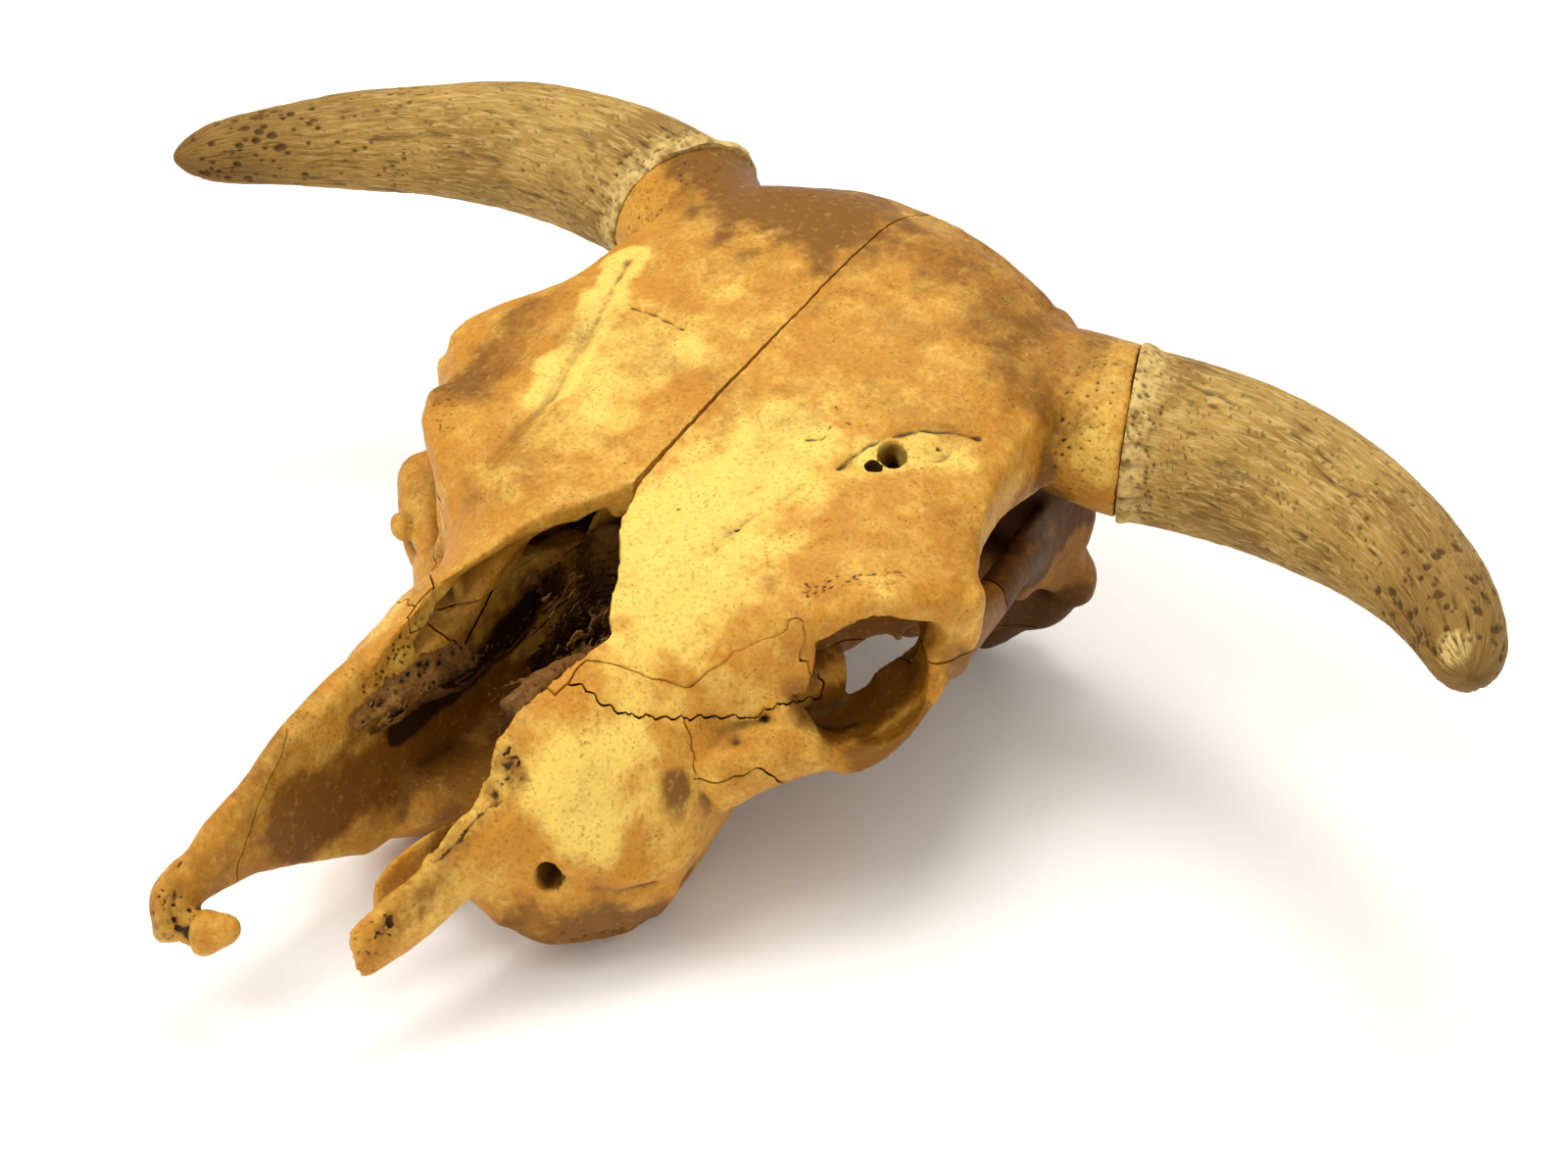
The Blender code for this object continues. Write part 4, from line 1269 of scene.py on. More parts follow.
    def lacrimal(self, side: Side) -> Solid:
        """Slab in the skin of the face between forehead, cheek and orbit.

        Args:
            side: the side of the animal.

        Returns:
            The slab as a solid.
        """
        outline = sided(side, (28, -92, 124), (44, -81, 118), (50, -80, 113), (59, -74, 109),
                        (65, -67, 107), (71, -56, 103), (77, -43, 99), (84, -31, 95),
                        (93, -26, 103), (112, -8, 106), (112, -6, 150),
                        (60, -45, 140), (28, -84, 140))
        inward = Vector((-side.value * 0.55, 0.30, -0.45)).normalized()
        outline = self.toothed(outline, inward, self.SUTURES["lacrimal"], side.value)
        drawing = Drawing()
        drawing.prism([point - inward * self.SLAB_OUT for point in outline],
                      inward * (self.SLAB_OUT + self.SLAB_IN))
        return drawing.solid("lacrimal")

    def flat(self, kind: str, outline: Sequence[Pair], low: float, high: float) -> Solid:
        """Space that is drawn in side view.

        Args:
            kind: name of the suture round it.
            outline: its corners as (y, z).
            low: where it starts across the skull.
            high: where it ends.

        Returns:
            The space as a solid.
        """
        across = Vector((1, 0, 0))
        points = [Vector((low, y, z)) for y, z in outline]
        points = self.toothed(points, across, self.SUTURES[kind], int(low > 0))
        drawing = Drawing()
        drawing.prism(points, across * (high - low))
        return drawing.solid(kind)

    @staticmethod
    def toothed(outline: Sequence[Vector], push: Vector, suture: Suture,
                shift: int) -> list[Vector]:
        """Give a closed outline the teeth of a suture.

        Args:
            outline: corners of the outline.
            push: direction in which the outline is pushed.
            suture: the teeth.
            shift: added to the seed, so that the two sides differ.

        Returns:
            The outline with its teeth.
        """
        points = []
        travelled = 0.0
        step = suture.pitch / 3
        total = sum((b - a).length for a, b in zip(outline, [*outline[1:], outline[0]]))
        run = np.arange(0, total + 10, step)
        offsets = stitches(run, suture.pitch, suture.reach, suture.seed + shift * 7)
        for start, end in zip(outline, [*outline[1:], outline[0]]):
            leg = end - start
            count = max(1, int(leg.length / step))
            out = leg.cross(push).normalized()
            for index in range(count):
                share = index / count
                bite = np.interp(travelled + leg.length * share, run, offsets)
                points.append(start + leg * share + out * (bite if index else 0))
            travelled += leg.length
        return points


# ---- horn cores ----

@dataclass
class HornCore:
    """One bare horn core: where it leaves the forehead, how it turns and how thick it is."""

    side: Side
    base: Point
    burr: Pair                       # way the burr faces: degrees back from straight out, up
    heading: Pair                    # degrees back from straight out, near base and at tip
    rise: tuple[float, float, float] # degrees above level: near base, halfway, at tip
    length: float
    girth: tuple[float, ...]         # radius at each quarter of the length
    worn_tip: Point | None = None    # middle of the pale worn spot near the tip, which is also a painted highlight
    seed: int = 0

    RINGS = 300
    SIDES = 230
    TIP = 0.9                        # share of the length where the tip starts to close
    COLLAR = 11.0                    # length of the rough collar at the burr, mm
    GAP = 0.35                       # gap between the burr and its root, mm
    PORE_STRETCH = 0.7               # width of a pore for each mm of its length
    PORES = ((0.0, 0.08, 110, (0.7, 1.5), 1.2), (0.05, 0.6, 170, (0.8, 1.4), 0.8),
             (0.55, 0.97, 150, (0.8, 1.4), 1.0), (0.72, 0.96, 70, (1.2, 2.1), 1.6))

    def way(self, angles: Pair) -> Vector:
        """Return the way that points out on this side, turned back and up by degrees."""
        back, up = (math.radians(angle) for angle in angles)
        return Vector((self.side.value * math.cos(back) * math.cos(up),
                       math.sin(back) * math.cos(up), math.sin(up)))

    def build(self) -> Solid:
        """Loft the core, roughen it and store its grain.

        Returns:
            The horn core.
        """
        share = 1 - (1 - np.linspace(0, 1, self.RINGS)) ** 1.25
        centres, facings, radii = self.spine(share)
        along = share * self.length
        angle = np.linspace(0, 2 * math.pi, self.SIDES, endpoint=False)
        distance, turn = np.meshgrid(along, angle, indexing="ij")
        girth = np.repeat(radii[:, None], self.SIDES, axis=1)
        lift, cut = self.relief(distance, turn, girth)
        closing = ease(self.length, self.length * 0.97, distance)
        girth = girth + lift * closing
        rings = np.zeros((self.RINGS, self.SIDES, 3))
        for index, facing in enumerate(facings):
            across = Vector((0, 0, 1)).cross(facing).normalized()
            up = facing.cross(across)
            spread = np.outer(np.cos(angle), across) + np.outer(np.sin(angle), up)
            rings[index] = np.array(centres[index]) + spread * girth[index][:, None]
        drawing = Drawing()
        drawing.loft(rings)
        obj = drawing.solid(f"horn_core_{self.side.word}_bone")
        self.store(obj, rings, distance, turn, cut)
        return obj

    def spine(self, share: Array) -> tuple[list[Vector], list[Vector], Array]:
        """Run the middle line of the core.

        Args:
            share: places along the core, from 0 at the burr to 1 at the tip.

        Returns:
            The centre, the facing and the radius of each ring.
        """
        first = self.way(self.burr)
        place = Vector(self.base) + first * self.GAP
        centres, facings = [], []
        before = 0.0
        for here in share:
            heading = self.way((np.interp(here, (0, 1), self.heading),
                                np.interp(here, (0, 0.5, 1), self.rise)))
            place = place + heading * (here - before) * self.length
            before = here
            centres.append(place)
            facings.append(first.lerp(heading, float(ease(0, 0.25, here))).normalized())
        quarters = np.linspace(0, 1, len(self.girth))
        radius = np.polyval(np.polyfit(quarters, self.girth, len(self.girth) - 1), share)
        blunt = np.clip(share - self.TIP, 0, None) / (1 - self.TIP)
        return centres, facings, radius * np.sqrt(np.clip(1 - blunt ** 2, 0, 1))

    @staticmethod
    def rolled(turn: Array, radius: Any, along: Array) -> Array:
        """Lay points round a straight core, from their angle, radius and place along it."""
        return np.stack([np.cos(turn) * radius, np.sin(turn) * radius, along], -1).reshape(-1, 3)

    def relief(self, distance: Array, turn: Array, girth: Array) -> tuple[Array, Array]:
        """Work out how far the surface stands out or in.

        Args:
            distance: distance from the burr at each point, mm.
            turn: angle round the core, radians.
            girth: plain radius, mm.

        Returns:
            Height of the surface over the plain core, and how deep its furrows and pits
            are, mm.
        """
        flat = self.rolled(turn, self.girth[0], distance)
        noise = LatticeNoise(self.seed)
        drawn = flat.copy()
        drawn[:, 0] += noise.at(flat, 22) * 5
        drawn[:, 1] += noise.at(flat + 70, 22) * 5
        cut = np.clip(noise.at(drawn * (1, 1, 0.14), 2.6) - 0.10, 0, 1) * 0.85
        cut += np.clip(noise.at(drawn * (1, 1, 0.24) + 31, 2.0) - 0.25, 0, 1) * 0.8
        cut = np.maximum(cut, self.pits(distance, turn, girth))
        along = flat[:, 2]
        collar = ease(self.COLLAR, 1.5, along + noise.at(flat, 8) * 3)
        knobs = noise.at(flat * (1, 1, 0.7) + 5, 6.5)
        lift = noise.at(flat * (1, 1, 0.4), 17) * 0.9 + noise.at(flat + 13, 5) * 0.2
        lift += collar * (1.9 + 2.2 * knobs)
        lift = (lift - cut) * (0.4 + 0.6 * ease(0, 2.0, along))
        thin = np.clip(girth / 10, 0.2, 1)
        return lift.reshape(distance.shape) * thin, cut

    def pits(self, distance: Array, turn: Array, girth: Array) -> Array:
        """Drill the pores: wide ones at the burr and near the tip, small ones between.

        Args:
            distance: distance from the burr at each point, mm.
            turn: angle round the core, radians.
            girth: plain radius, mm.

        Returns:
            Depth of the pores at each point, mm.
        """
        random = np.random.default_rng(self.seed)
        round_core = self.rolled(turn, girth, distance * self.PORE_STRETCH)
        along = distance.reshape(-1)
        depth = np.zeros(len(along))
        for low, high, count, radii, deep in self.PORES:
            inside = np.nonzero((along > low * self.length) & (along < high * self.length))[0]
            for centre in random.choice(inside, count):
                radius = random.uniform(*radii)
                gap = np.sqrt(((round_core - round_core[centre]) ** 2).sum(1))
                depth = np.maximum(depth, np.clip(1.25 - gap / radius, 0, 1) * deep)
        return depth

    def store(self, obj: Solid, rings: Array, distance: Array, turn: Array, cut: Array) -> None:
        """Store the grain, the hollows and the pale places for the finish.

        Args:
            obj: the finished core.
            rings: where each point of the grid lies.
            distance: distance from the burr, mm.
            turn: angle round the core.
            cut: depth of the furrows and pores, mm.
        """
        skin = Skin(obj)
        rows = {tuple(np.round(p, 3)): i for i, p in enumerate(rings.reshape(-1, 3))}
        order = [rows.get(tuple(np.round(p, 3)), 0) for p in skin.points]
        grain = self.rolled(turn, self.girth[0], distance)[order]
        layer = obj.data.attributes.new("grain", "FLOAT_VECTOR", "POINT")
        layer.data.foreach_set("vector", grain.reshape(-1).astype(np.float32))
        skin.paint("hollow", cut[order])
        noise = LatticeNoise(self.seed + 9).at(skin.points, 6)
        pale = ease(22 + 9 * noise, 3 + 4 * noise, grain[:, 2])
        # the spot at the tip is pale wear and a painted highlight
        if self.worn_tip:
            gap = np.sqrt(((skin.points - self.worn_tip) ** 2).sum(1))
            pale = np.maximum(pale, ease(9 + 3 * noise, 4, gap) * 1.3)
        skin.paint("pale", pale)
        skin.paint("tip", ease(self.length * 0.55, self.length * 0.9, grain[:, 2]))


HORN_CORES = {
    Side.LEFT: HornCore(Side.LEFT, (122, 173, 145), (24, 0), (1.2, -63), (9, 7.5, 6), 250,
                        (36.5, 32.5, 27, 20, 12.5), (314, 56, 184), seed=41),
    Side.RIGHT: HornCore(Side.RIGHT, (-123, 184, 166), (22, 14), (9.4, -74.6), (9.5, -3, 5), 262,
                         (37, 32.5, 27, 20.5, 10), seed=42),
}


# ---- inside the nose ----

NOSE_PITS = {
    "concha_left": (
        PitField("edge of the left concha", ((29, -104, 114), (28, -84, 119), (30, -66, 119)),
                 8, 60, (0.8, 1.6), 1.6),
    ),
    "concha_right": (
        PitField("row on the right shelf", ((-33, -122, 92), (-33, -92, 96), (-38, -66, 91)),
                 3.5, 34, (1.2, 2.2), 3.0),
        PitField("right shelf", ((-32, -120, 88), (-33, -90, 90)), 9, 80, (0.7, 1.2), 1.0),
    ),
}


@dataclass
class InnerNose:
    """What is left of the scrolls and the ethmoid inside the nose."""

    leaf_thickness: float = 1.5
    step: float = 1.2            # side of a leaf's meshes, mm
    grain: float = 0.9           # side of the cells it is welded from, mm
    softness: float = 0.5                               # how far the leaves melt together, mm

    def leaf(self, drawing: Drawing, ys: Pair, zs: Pair, x: float,
             bow: float, seed: int, tilt: float = 0.0) -> None:
        """Draw one thin broken sheet that stands along the nose.

        Args:
            drawing: what it is drawn into.
            ys: its front and back.
            zs: its foot and its top.
            x: its place across the nose.
            bow: how far it bows sideways.
            seed: which breakage it has.
            tilt: how far its top leans sideways, mm.
        """
        bm = drawing.bm
        columns = int((ys[1] - ys[0]) / self.step)
        rows = int((zs[1] - zs[0]) / self.step)
        grid = bmesh.ops.create_grid(bm, x_segments=columns, y_segments=rows, size=1)
        noise = LatticeNoise(seed)
        verts = grid["verts"]
        flat = np.array([tuple(v.co) for v in verts])
        share = flat[:, :2] / 2 + 0.5
        line = np.stack([share[:, 0] * 60, share[:, 1] * 0, flat[:, 2]], -1)
        top = noise.at(line, 7) * 5 + noise.at(line + 9, 2.6) * 2
        front = noise.at(np.stack([share[:, 1] * 60, line[:, 1] + 30, line[:, 2]], -1), 6) * 5
        y = ys[0] + (ys[1] - ys[0]) * share[:, 0] + front * (1 - share[:, 0])
        z = zs[0] + (zs[1] - zs[0]) * share[:, 1] + top * share[:, 1]
        place = np.stack([np.full(len(y), x), y, z], -1)
        wave = noise.at(place, 15) * 3.0 + noise.at(place + 5, 5) * 0.9
        place[:, 0] += wave + bow * np.sin(share[:, 1] * math.pi) + tilt * share[:, 1]
        for vert, spot in zip(verts, place):
            vert.co = spot
        faces = list({face for vert in verts for face in vert.link_faces})
        bmesh.ops.solidify(bm, geom=faces, thickness=self.leaf_thickness)

    def build(self) -> dict[str, Solid]:
        """Draw the three pieces.

        Returns:
            The pieces by the node that they stand for.
        """
        left, right, back = Drawing(), Drawing(), Drawing()
        self.leaf(left, (-104, -34), (100, 117), 27, -4, 51, tilt=-6)
        left.tube(sided(Side.LEFT, (31, -104, 112), (30, -84, 116), (31, -66, 116)),
                  (5, 5.5, 4), flatten=0.8)
        self.leaf(right, (-116, -36), (78, 96), -33, 4, 52, tilt=9)
        right.tube(sided(Side.RIGHT, (27, -126, 89), (30, -112, 93), (31, -90, 93),
                   (33, -62, 88)), (4, 7, 8, 6), flatten=0.24, across=(0.6, 0, -0.8))
        for index, x in enumerate((-30, -21, -12, -3, 6, 15, 25)):
            self.leaf(back, (-34 - 6 * (index % 3), 14), (62, 118 - 7 * (index % 2)), x,
                      5 * (-1) ** index, 60 + index, tilt=4 * (-1) ** index)
        self.leaf(back, (-50, -28), (100, 118), 20, 3, 81, tilt=5)
        back.knob((-4, 6, 92), (34, 5, 34))
        made = {"concha_left": left, "concha_right": right, "ethmoid": back}
        pieces = {}
        for node, drawing in made.items():
            obj = drawing.solid(f"{node}_bone")
            Workshop.weld(obj, self.grain, self.softness)
            skin = Skin(obj)
            skin.push(LatticeNoise(71).at(skin.points, 3.5) * 0.5)
            skin.refresh()
            Settling.settle(skin)
            carver = Carver(skin)
            for index, patch in enumerate(NOSE_PITS.get(node, ())):
                carver.pit(patch, NOSE_PIT_SEED + index)
            skin.refresh()
            carver.read_hollows()
            pieces[node] = obj
        return pieces


class Settling:
    """The skull's twist: left horn lower than right, muzzle turned, right brow wider."""

    @staticmethod
    def settle(skin: Skin) -> None:
        """Twist, lean and widen the points of one skin.

        Args:
            skin: the skin.
        """
        x, y, z = skin.points.T
        twist = TWIST * ease(40, 180, y) * ease(10, 70, z)
        lean = MUZZLE_LEAN * ease(60, 150, -y)
        swell = np.interp(y, *zip(*RIGHT_SWELL)) * ease(45, 95, -x)
        skin.points = np.stack([x - lean - swell, y, z - twist * x], -1)
        skin.refresh()


# ---- the skull ----

@dataclass
class Skull:
    """The whole skull: blank, openings, carving and parting."""

    HOLES = (
        ("left forehead foramen", ((80, 60, 176), (75, 66, 160), (72, 74, 150)), (4.4, 4.2, 3)),
        ("small one beside it", ((78, 51, 172), (75, 54, 160), (73, 58, 152)), (2.3, 2.1, 1.6)),
        ("left cheek foramen", ((62, -126, 58), (53, -113, 54), (45, -98, 52)), (5.4, 4.8, 3.5)),
        ("right cheek foramen", ((-70, -126, 58), (-61, -113, 54), (-53, -98, 52)),
         (5.4, 4.8, 3.5)),
    )
    HOLE_HEIGHT = 1.35                   # height of a hole for each mm of its width
    SQUARE_HALF_WIDTH = 60               # of the tool that cuts a horn root flat, mm
    SQUARE_DEPTH = 80

    def build(self) -> dict[str, Solid]:
        """Make the skull and part it.

        Returns:
            The bones by the node that they stand for.
        """
        blank = SkullBlank().build()
        LOG.info("blank welded: %d faces", len(blank.data.polygons))
        Workshop.remove(blank, Openings().build())
        Workshop.join(blank, Linings().build())
        Settling.settle(Skin(blank))
        self.square_horn_roots(blank)
        self.drill(blank)
        Workshop.weld(blank, GRAIN, EDGE_SOFTNESS)
        Workshop.keep_largest(blank)
        LOG.info("openings cut: %d faces", len(blank.data.polygons))
        Carver(Skin(blank)).work()
        return Bones(blank).part()

    def square_horn_roots(self, blank: Solid) -> None:
        """Cut the forehead's two horn roots flat where the horn cores begin."""
        for horn in HORN_CORES.values():
            facing = horn.way(horn.burr)
            across = Vector((0, 0, 1)).cross(facing).normalized()
            up = facing.cross(across)
            drawing = Drawing()
            drawing.prism([Vector(horn.base) + (across * a + up * b) * self.SQUARE_HALF_WIDTH
                           for a, b in ((-1, -1), (1, -1), (1, 1), (-1, 1))],
                          facing * self.SQUARE_DEPTH)
            Workshop.remove(blank, drawing.solid("square"))

    def drill(self, blank: Solid) -> None:
        """Drill the canals of nerves and vessels."""
        for name, path, radii in self.HOLES:
            drawing = Drawing()
            drawing.tube(path, radii, self.HOLE_HEIGHT, across=(0.8, 0.6, 0))
            Workshop.remove(blank, drawing.solid(name))


# ---- finishes ----

def linear(code: str) -> tuple[float, float, float, float]:
    """Turn an sRGB hex code to a linear colour with full alpha."""
    channels = [int(code[i:i + 2], 16) / 255 for i in (1, 3, 5)]
    return (*(c / 12.92 if c <= 0.04045 else ((c + 0.055) / 1.055) ** 2.4 for c in channels), 1)


def per_mm(size: float) -> float:
    """Turn the size of a pattern in mm to a texture scale on coordinates in metres."""
    return 1 / (size * MM)


class Nodes:
    """The nodes of one material, added one by one."""

    def __init__(self, tree: bpy.types.NodeTree) -> None:
        """Start on a material's node tree."""
        self.tree = tree

    def add(self, kind: str, settings: dict[str, Any] | None = None,
            **inputs: Any) -> bpy.types.Node:
        """Add one node with its settings, values and links.

        Args:
            kind: Blender's name of the node type.
            settings: properties of the node itself.
            inputs: a value or an output socket for each input; underscores stand for
                spaces, and a name like i0 means the input of that number.

        Returns:
            The node.
        """
        node = self.tree.nodes.new(kind)
        for name, value in (settings or {}).items():
            setattr(node, name, value)
        for name, value in inputs.items():
            numbered = name[0] == "i" and name[1:].isdigit()
            socket = node.inputs[int(name[1:]) if numbered else name.replace("_", " ")]
            if isinstance(value, Socket):
                self.tree.links.new(value, socket)
            else:
                socket.default_value = value
        return node

    def noise(self, place: Socket, size: float, detail: float = 4,
              distortion: float = 0.0) -> Socket:
        """Add one noise whose blotches are of a size in mm."""
        return self.add("ShaderNodeTexNoise", Vector=place, Scale=per_mm(size),
                        Detail=detail, Distortion=distortion).outputs[0]

    def ramp(self, value: Socket, low: float, high: float) -> Socket:
        """Stretch a value so that low becomes 0 and high becomes 1."""
        return self.add("ShaderNodeMapRange", {"interpolation_type": "SMOOTHSTEP"},
                        Value=value, From_Min=low, From_Max=high).outputs["Result"]

    def mix(self, factor: Any, first: Any, second: Any) -> Socket:
        """Mix two colours."""
        return self.add("ShaderNodeMix", {"data_type": "RGBA"}, i0=factor, i6=first,
                        i7=second).outputs[2]

    def math(self, kind: str, first: Any, second: Any = 0.0, third: Any = 0.0) -> Socket:
        """Add one calculation."""
        return self.add("ShaderNodeMath", {"operation": kind}, i0=first, i1=second,
                        i2=third).outputs[0]

    def over(self, mask: Any, strength: float, under: Any, top: Any) -> Socket:
        """Lay one colour over another where a mask shows, at most at a strength."""
        return self.mix(self.math("MULTIPLY", mask, strength), under, top)

    def layer(self, name: str) -> Socket:
        """Read a number stored on the mesh."""
        return self.add("ShaderNodeAttribute", {"attribute_name": name}).outputs["Fac"]

    def mapped(self, place: Socket, scale: Point) -> Socket:
        """Scale coordinates along each axis."""
        return self.add("ShaderNodeMapping", {"vector_type": "POINT"}, Vector=place,
                        Scale=scale).outputs["Vector"]

    def bumped(self, height: Socket) -> Socket:
        """Turn a height between 0 and 1 to a bumped normal."""
        return self.add("ShaderNodeBump", Strength=0.9, Distance=BUMP_HEIGHT * MM,
                        Height=height).outputs["Normal"]


@dataclass(frozen=True)
class BoneFinish:
    """Dry bone that has lain in soil: ochre, paler where worn and in painted highlights, brown in
    its hollows with dirt and painted shade.

    The satin outer table gives a soft sheen, its roughness varied in patches.
    """

    name: str
    pale: str                  # worn places, and painted highlights
    base: str
    brown: str                 # soil stains, and painted shade in broad hollows and shaded patches
    dirt: str                  # dirt and painted shade at the bottom of pits, pores and sutures, and painted shadow
    roughness: float
    stain: float               # how much more than half is stained or painted as shade, from 0 up
    pores: float = 0.5         # how many pores show
    ior: float = 1.52          # dry bone, near that of its mineral and collagen
    mirror: float = 0.18       # open pores swallow most of the plain reflection

    def build(self) -> bpy.types.Material:
        """Make the material.

        Returns:
            The material with all its nodes.
        """
        material = bpy.data.materials.new(self.name)
        material.use_nodes = True
        tree = material.node_tree
        shader = tree.nodes["Principled BSDF"]
        nodes = Nodes(tree)
        place = self.coordinates(nodes)
        for socket, pattern in (("Base Color", self.colour), ("Roughness", self.gloss),
                                ("Normal", self.bump)):
            tree.links.new(pattern(nodes, place), shader.inputs[socket])
        shader.inputs["IOR"].default_value = self.ior
        shader.inputs["Specular IOR Level"].default_value = self.mirror
        shader.inputs["Metallic"].default_value = 0
        return material

    def coordinates(self, nodes: Nodes) -> Socket:
        """Give the coordinates that every pattern follows."""
        return nodes.add("ShaderNodeTexCoord").outputs["Object"]

    def shades(self) -> list[tuple[float, float, float, float]]:
        """Give the four colours in linear light: pale, base, brown, and the colour of dirt and
        painted shade.
        """
        return [linear(code) for code in (self.pale, self.base, self.brown, self.dirt)]

    def pore_mask(self, nodes: Nodes, place: Socket, size: float, width: float) -> Socket:
        """Give 1 inside scattered pores.

        Args:
            nodes: the material's nodes.
            place: coordinates.
            size: mean spacing of the pores, mm.
            width: share of that spacing that one pore takes.

        Returns:
            The mask.
        """
        cells = nodes.add("ShaderNodeTexVoronoi", Vector=place, Scale=per_mm(size))
        dots = nodes.ramp(cells.outputs["Distance"], width, width * 0.45)
        some = nodes.ramp(nodes.noise(place, 14, 3), 0.62 - 0.25 * self.pores,
                         0.72 - 0.2 * self.pores)
        return nodes.math("MULTIPLY", dots, some)

    def cloud(self, nodes: Nodes, place: Socket,
              sizes: Sequence[float], layer: str, lift: float) -> Socket:
        """Sum three noises and a stored layer, for patches with ragged edges.

        Args:
            nodes: the material's nodes.
            place: coordinates.
            sizes: sizes of the three noises, largest first, mm.
            layer: name of the numbers stored on the mesh.
            lift: added to the sum everywhere.

        Returns:
            A value near 0.5 where neither the layer nor the lift adds to it.
        """
        total = nodes.math("MULTIPLY_ADD", nodes.layer(layer), 0.30, lift)
        for size, share in zip(sizes, (0.5, 0.3, 0.2)):
            noise = nodes.noise(place, size, 5, 0.4)
            total = nodes.math("MULTIPLY_ADD", noise, share, total)
        return total

    def colour(self, nodes: Nodes, place: Socket) -> Socket:
        """Mix the colour of the bone.

        Args:
            nodes: the material's nodes.
            place: coordinates.

        Returns:
            The colour.
        """
        pale, base, brown, dirt = self.shades()
        # wear and painted highlight: paler where the pale layer and its noise are high
        wear_and_highlight = nodes.ramp(self.cloud(nodes, place, (27, 8, 2.3), "pale", 0), 0.42, 0.80)
        colour = nodes.mix(wear_and_highlight, base, pale)
        # soil stains, and painted shade where the stain-and-shade layer is high
        soil_and_shade = self.cloud(nodes, place, (36, 11, 3.1), "stain", self.stain)
        colour = nodes.mix(nodes.ramp(soil_and_shade, 0.46, 0.82), colour, brown)
        speck = nodes.ramp(nodes.noise(place, 1.7, 4), 0.50, 0.72)
        colour = nodes.over(speck, 0.40, colour, brown)
        fleck = nodes.ramp(nodes.noise(place, 3.3, 4), 0.56, 0.72)
        colour = nodes.over(fleck, 0.16, colour, pale)
        # painted shade: brown in broad hollows
        sunken = nodes.ramp(nodes.layer("sunken"), 0.25, 2.0)
        colour = nodes.over(sunken, 0.65, colour, brown)
        # dirt and painted shade in fine hollows and sutures, and in the pores
        hollow = nodes.ramp(nodes.layer("hollow"), 0.12, 0.75)
        colour = nodes.over(hollow, 0.92, colour, dirt)
        colour = nodes.over(self.pore_mask(nodes, place, 2.4, 0.20), 0.65, colour, dirt)
        # painted shadow: where the stain-and-shade layer passes 1.2 it turns to the darkest
        # colour
        painted_shadow = nodes.ramp(nodes.layer("stain"), 1.2, 2.4)
        return nodes.mix(painted_shadow, colour, dirt)

    def gloss(self, nodes: Nodes, place: Socket) -> Socket:
        """Vary the roughness in patches round the finish's own value."""
        patch = nodes.math("MULTIPLY", nodes.noise(place, 7, 4), 0.22)
        return nodes.math("ADD", patch, self.roughness - 0.11)

    def bump(self, nodes: Nodes, place: Socket) -> Socket:
        """Add the relief that is finer than the mesh.

        Args:
            nodes: the material's nodes.
            place: coordinates.

        Returns:
            The bumped normal.
        """
        fine = nodes.noise(place, 1.3, 5)
        broad = nodes.noise(place, 5.0, 4)
        pores = self.pore_mask(nodes, place, 2.6, 0.26)
        height = nodes.math("ADD", nodes.math("MULTIPLY", fine, 0.35),
                           nodes.math("MULTIPLY", broad, 0.6))
        height = nodes.math("SUBTRACT", height, nodes.math("MULTIPLY", pores, 0.6))
        return nodes.bumped(height)


@dataclass(frozen=True)
class HornCoreFinish(BoneFinish):
    """Porous bone of a horn core: greyish tan with long furrows and pores along its grain."""

    ALONG = (1, 1, 1 / 6)      # furrows are six times as long as they are wide

    def coordinates(self, nodes: Nodes) -> Socket:
        """Give coordinates that run round and along the core, in metres."""
        grain = nodes.add("ShaderNodeAttribute", {"attribute_name": "grain"})
        return nodes.mapped(grain.outputs["Vector"], (MM, MM, MM))

    def colour(self, nodes: Nodes, place: Socket) -> Socket:
        """Mix the colour of the core.

        Args:
            nodes: the material's nodes.
            place: coordinates round and along the core.

        Returns:
            The colour.
        """
        pale, base, brown, dirt = self.shades()
        long = nodes.mapped(place, self.ALONG)
        broad = nodes.ramp(nodes.noise(place, 45, 5), 0.40, 0.64)
        colour = nodes.over(broad, 0.6, base, brown)
        fibre = nodes.ramp(nodes.noise(long, 2.0, 5, 0.8), 0.44, 0.68)
        colour = nodes.over(fibre, 0.55, colour, pale)
        streak = nodes.ramp(nodes.noise(long, 1.1, 4, 0.5), 0.56, 0.70)
        colour = nodes.over(streak, 0.45, colour, dirt)
        colour = nodes.over(nodes.layer("tip"), 0.6, colour, brown)
        # pale collar at the burr, and the worn tip's spot, which is also a painted highlight
        chalk_and_highlight = nodes.math("MULTIPLY", nodes.layer("pale"),
                          nodes.ramp(nodes.noise(place, 4, 5), 0.32, 0.62))
        colour = nodes.mix(nodes.math("MINIMUM", chalk_and_highlight, 1.0), colour, pale)
        # dirt and painted shade in the furrows and pores
        hollow = nodes.ramp(nodes.layer("hollow"), 0.15, 0.95)
        return nodes.over(hollow, 0.72, colour, dirt)

    def bump(self, nodes: Nodes, place: Socket) -> Socket:
        """Add furrows that are finer than the mesh.

        Args:
            nodes: the material's nodes.
            place: coordinates round and along the core.

        Returns:
            The bumped normal.
        """
        long = nodes.mapped(place, self.ALONG)
        fine = nodes.noise(long, 1.2, 4, 0.4)
        grit = nodes.noise(place, 0.9, 3)
        height = nodes.math("ADD", fine, nodes.math("MULTIPLY", grit, 0.4))
        return nodes.bumped(height)


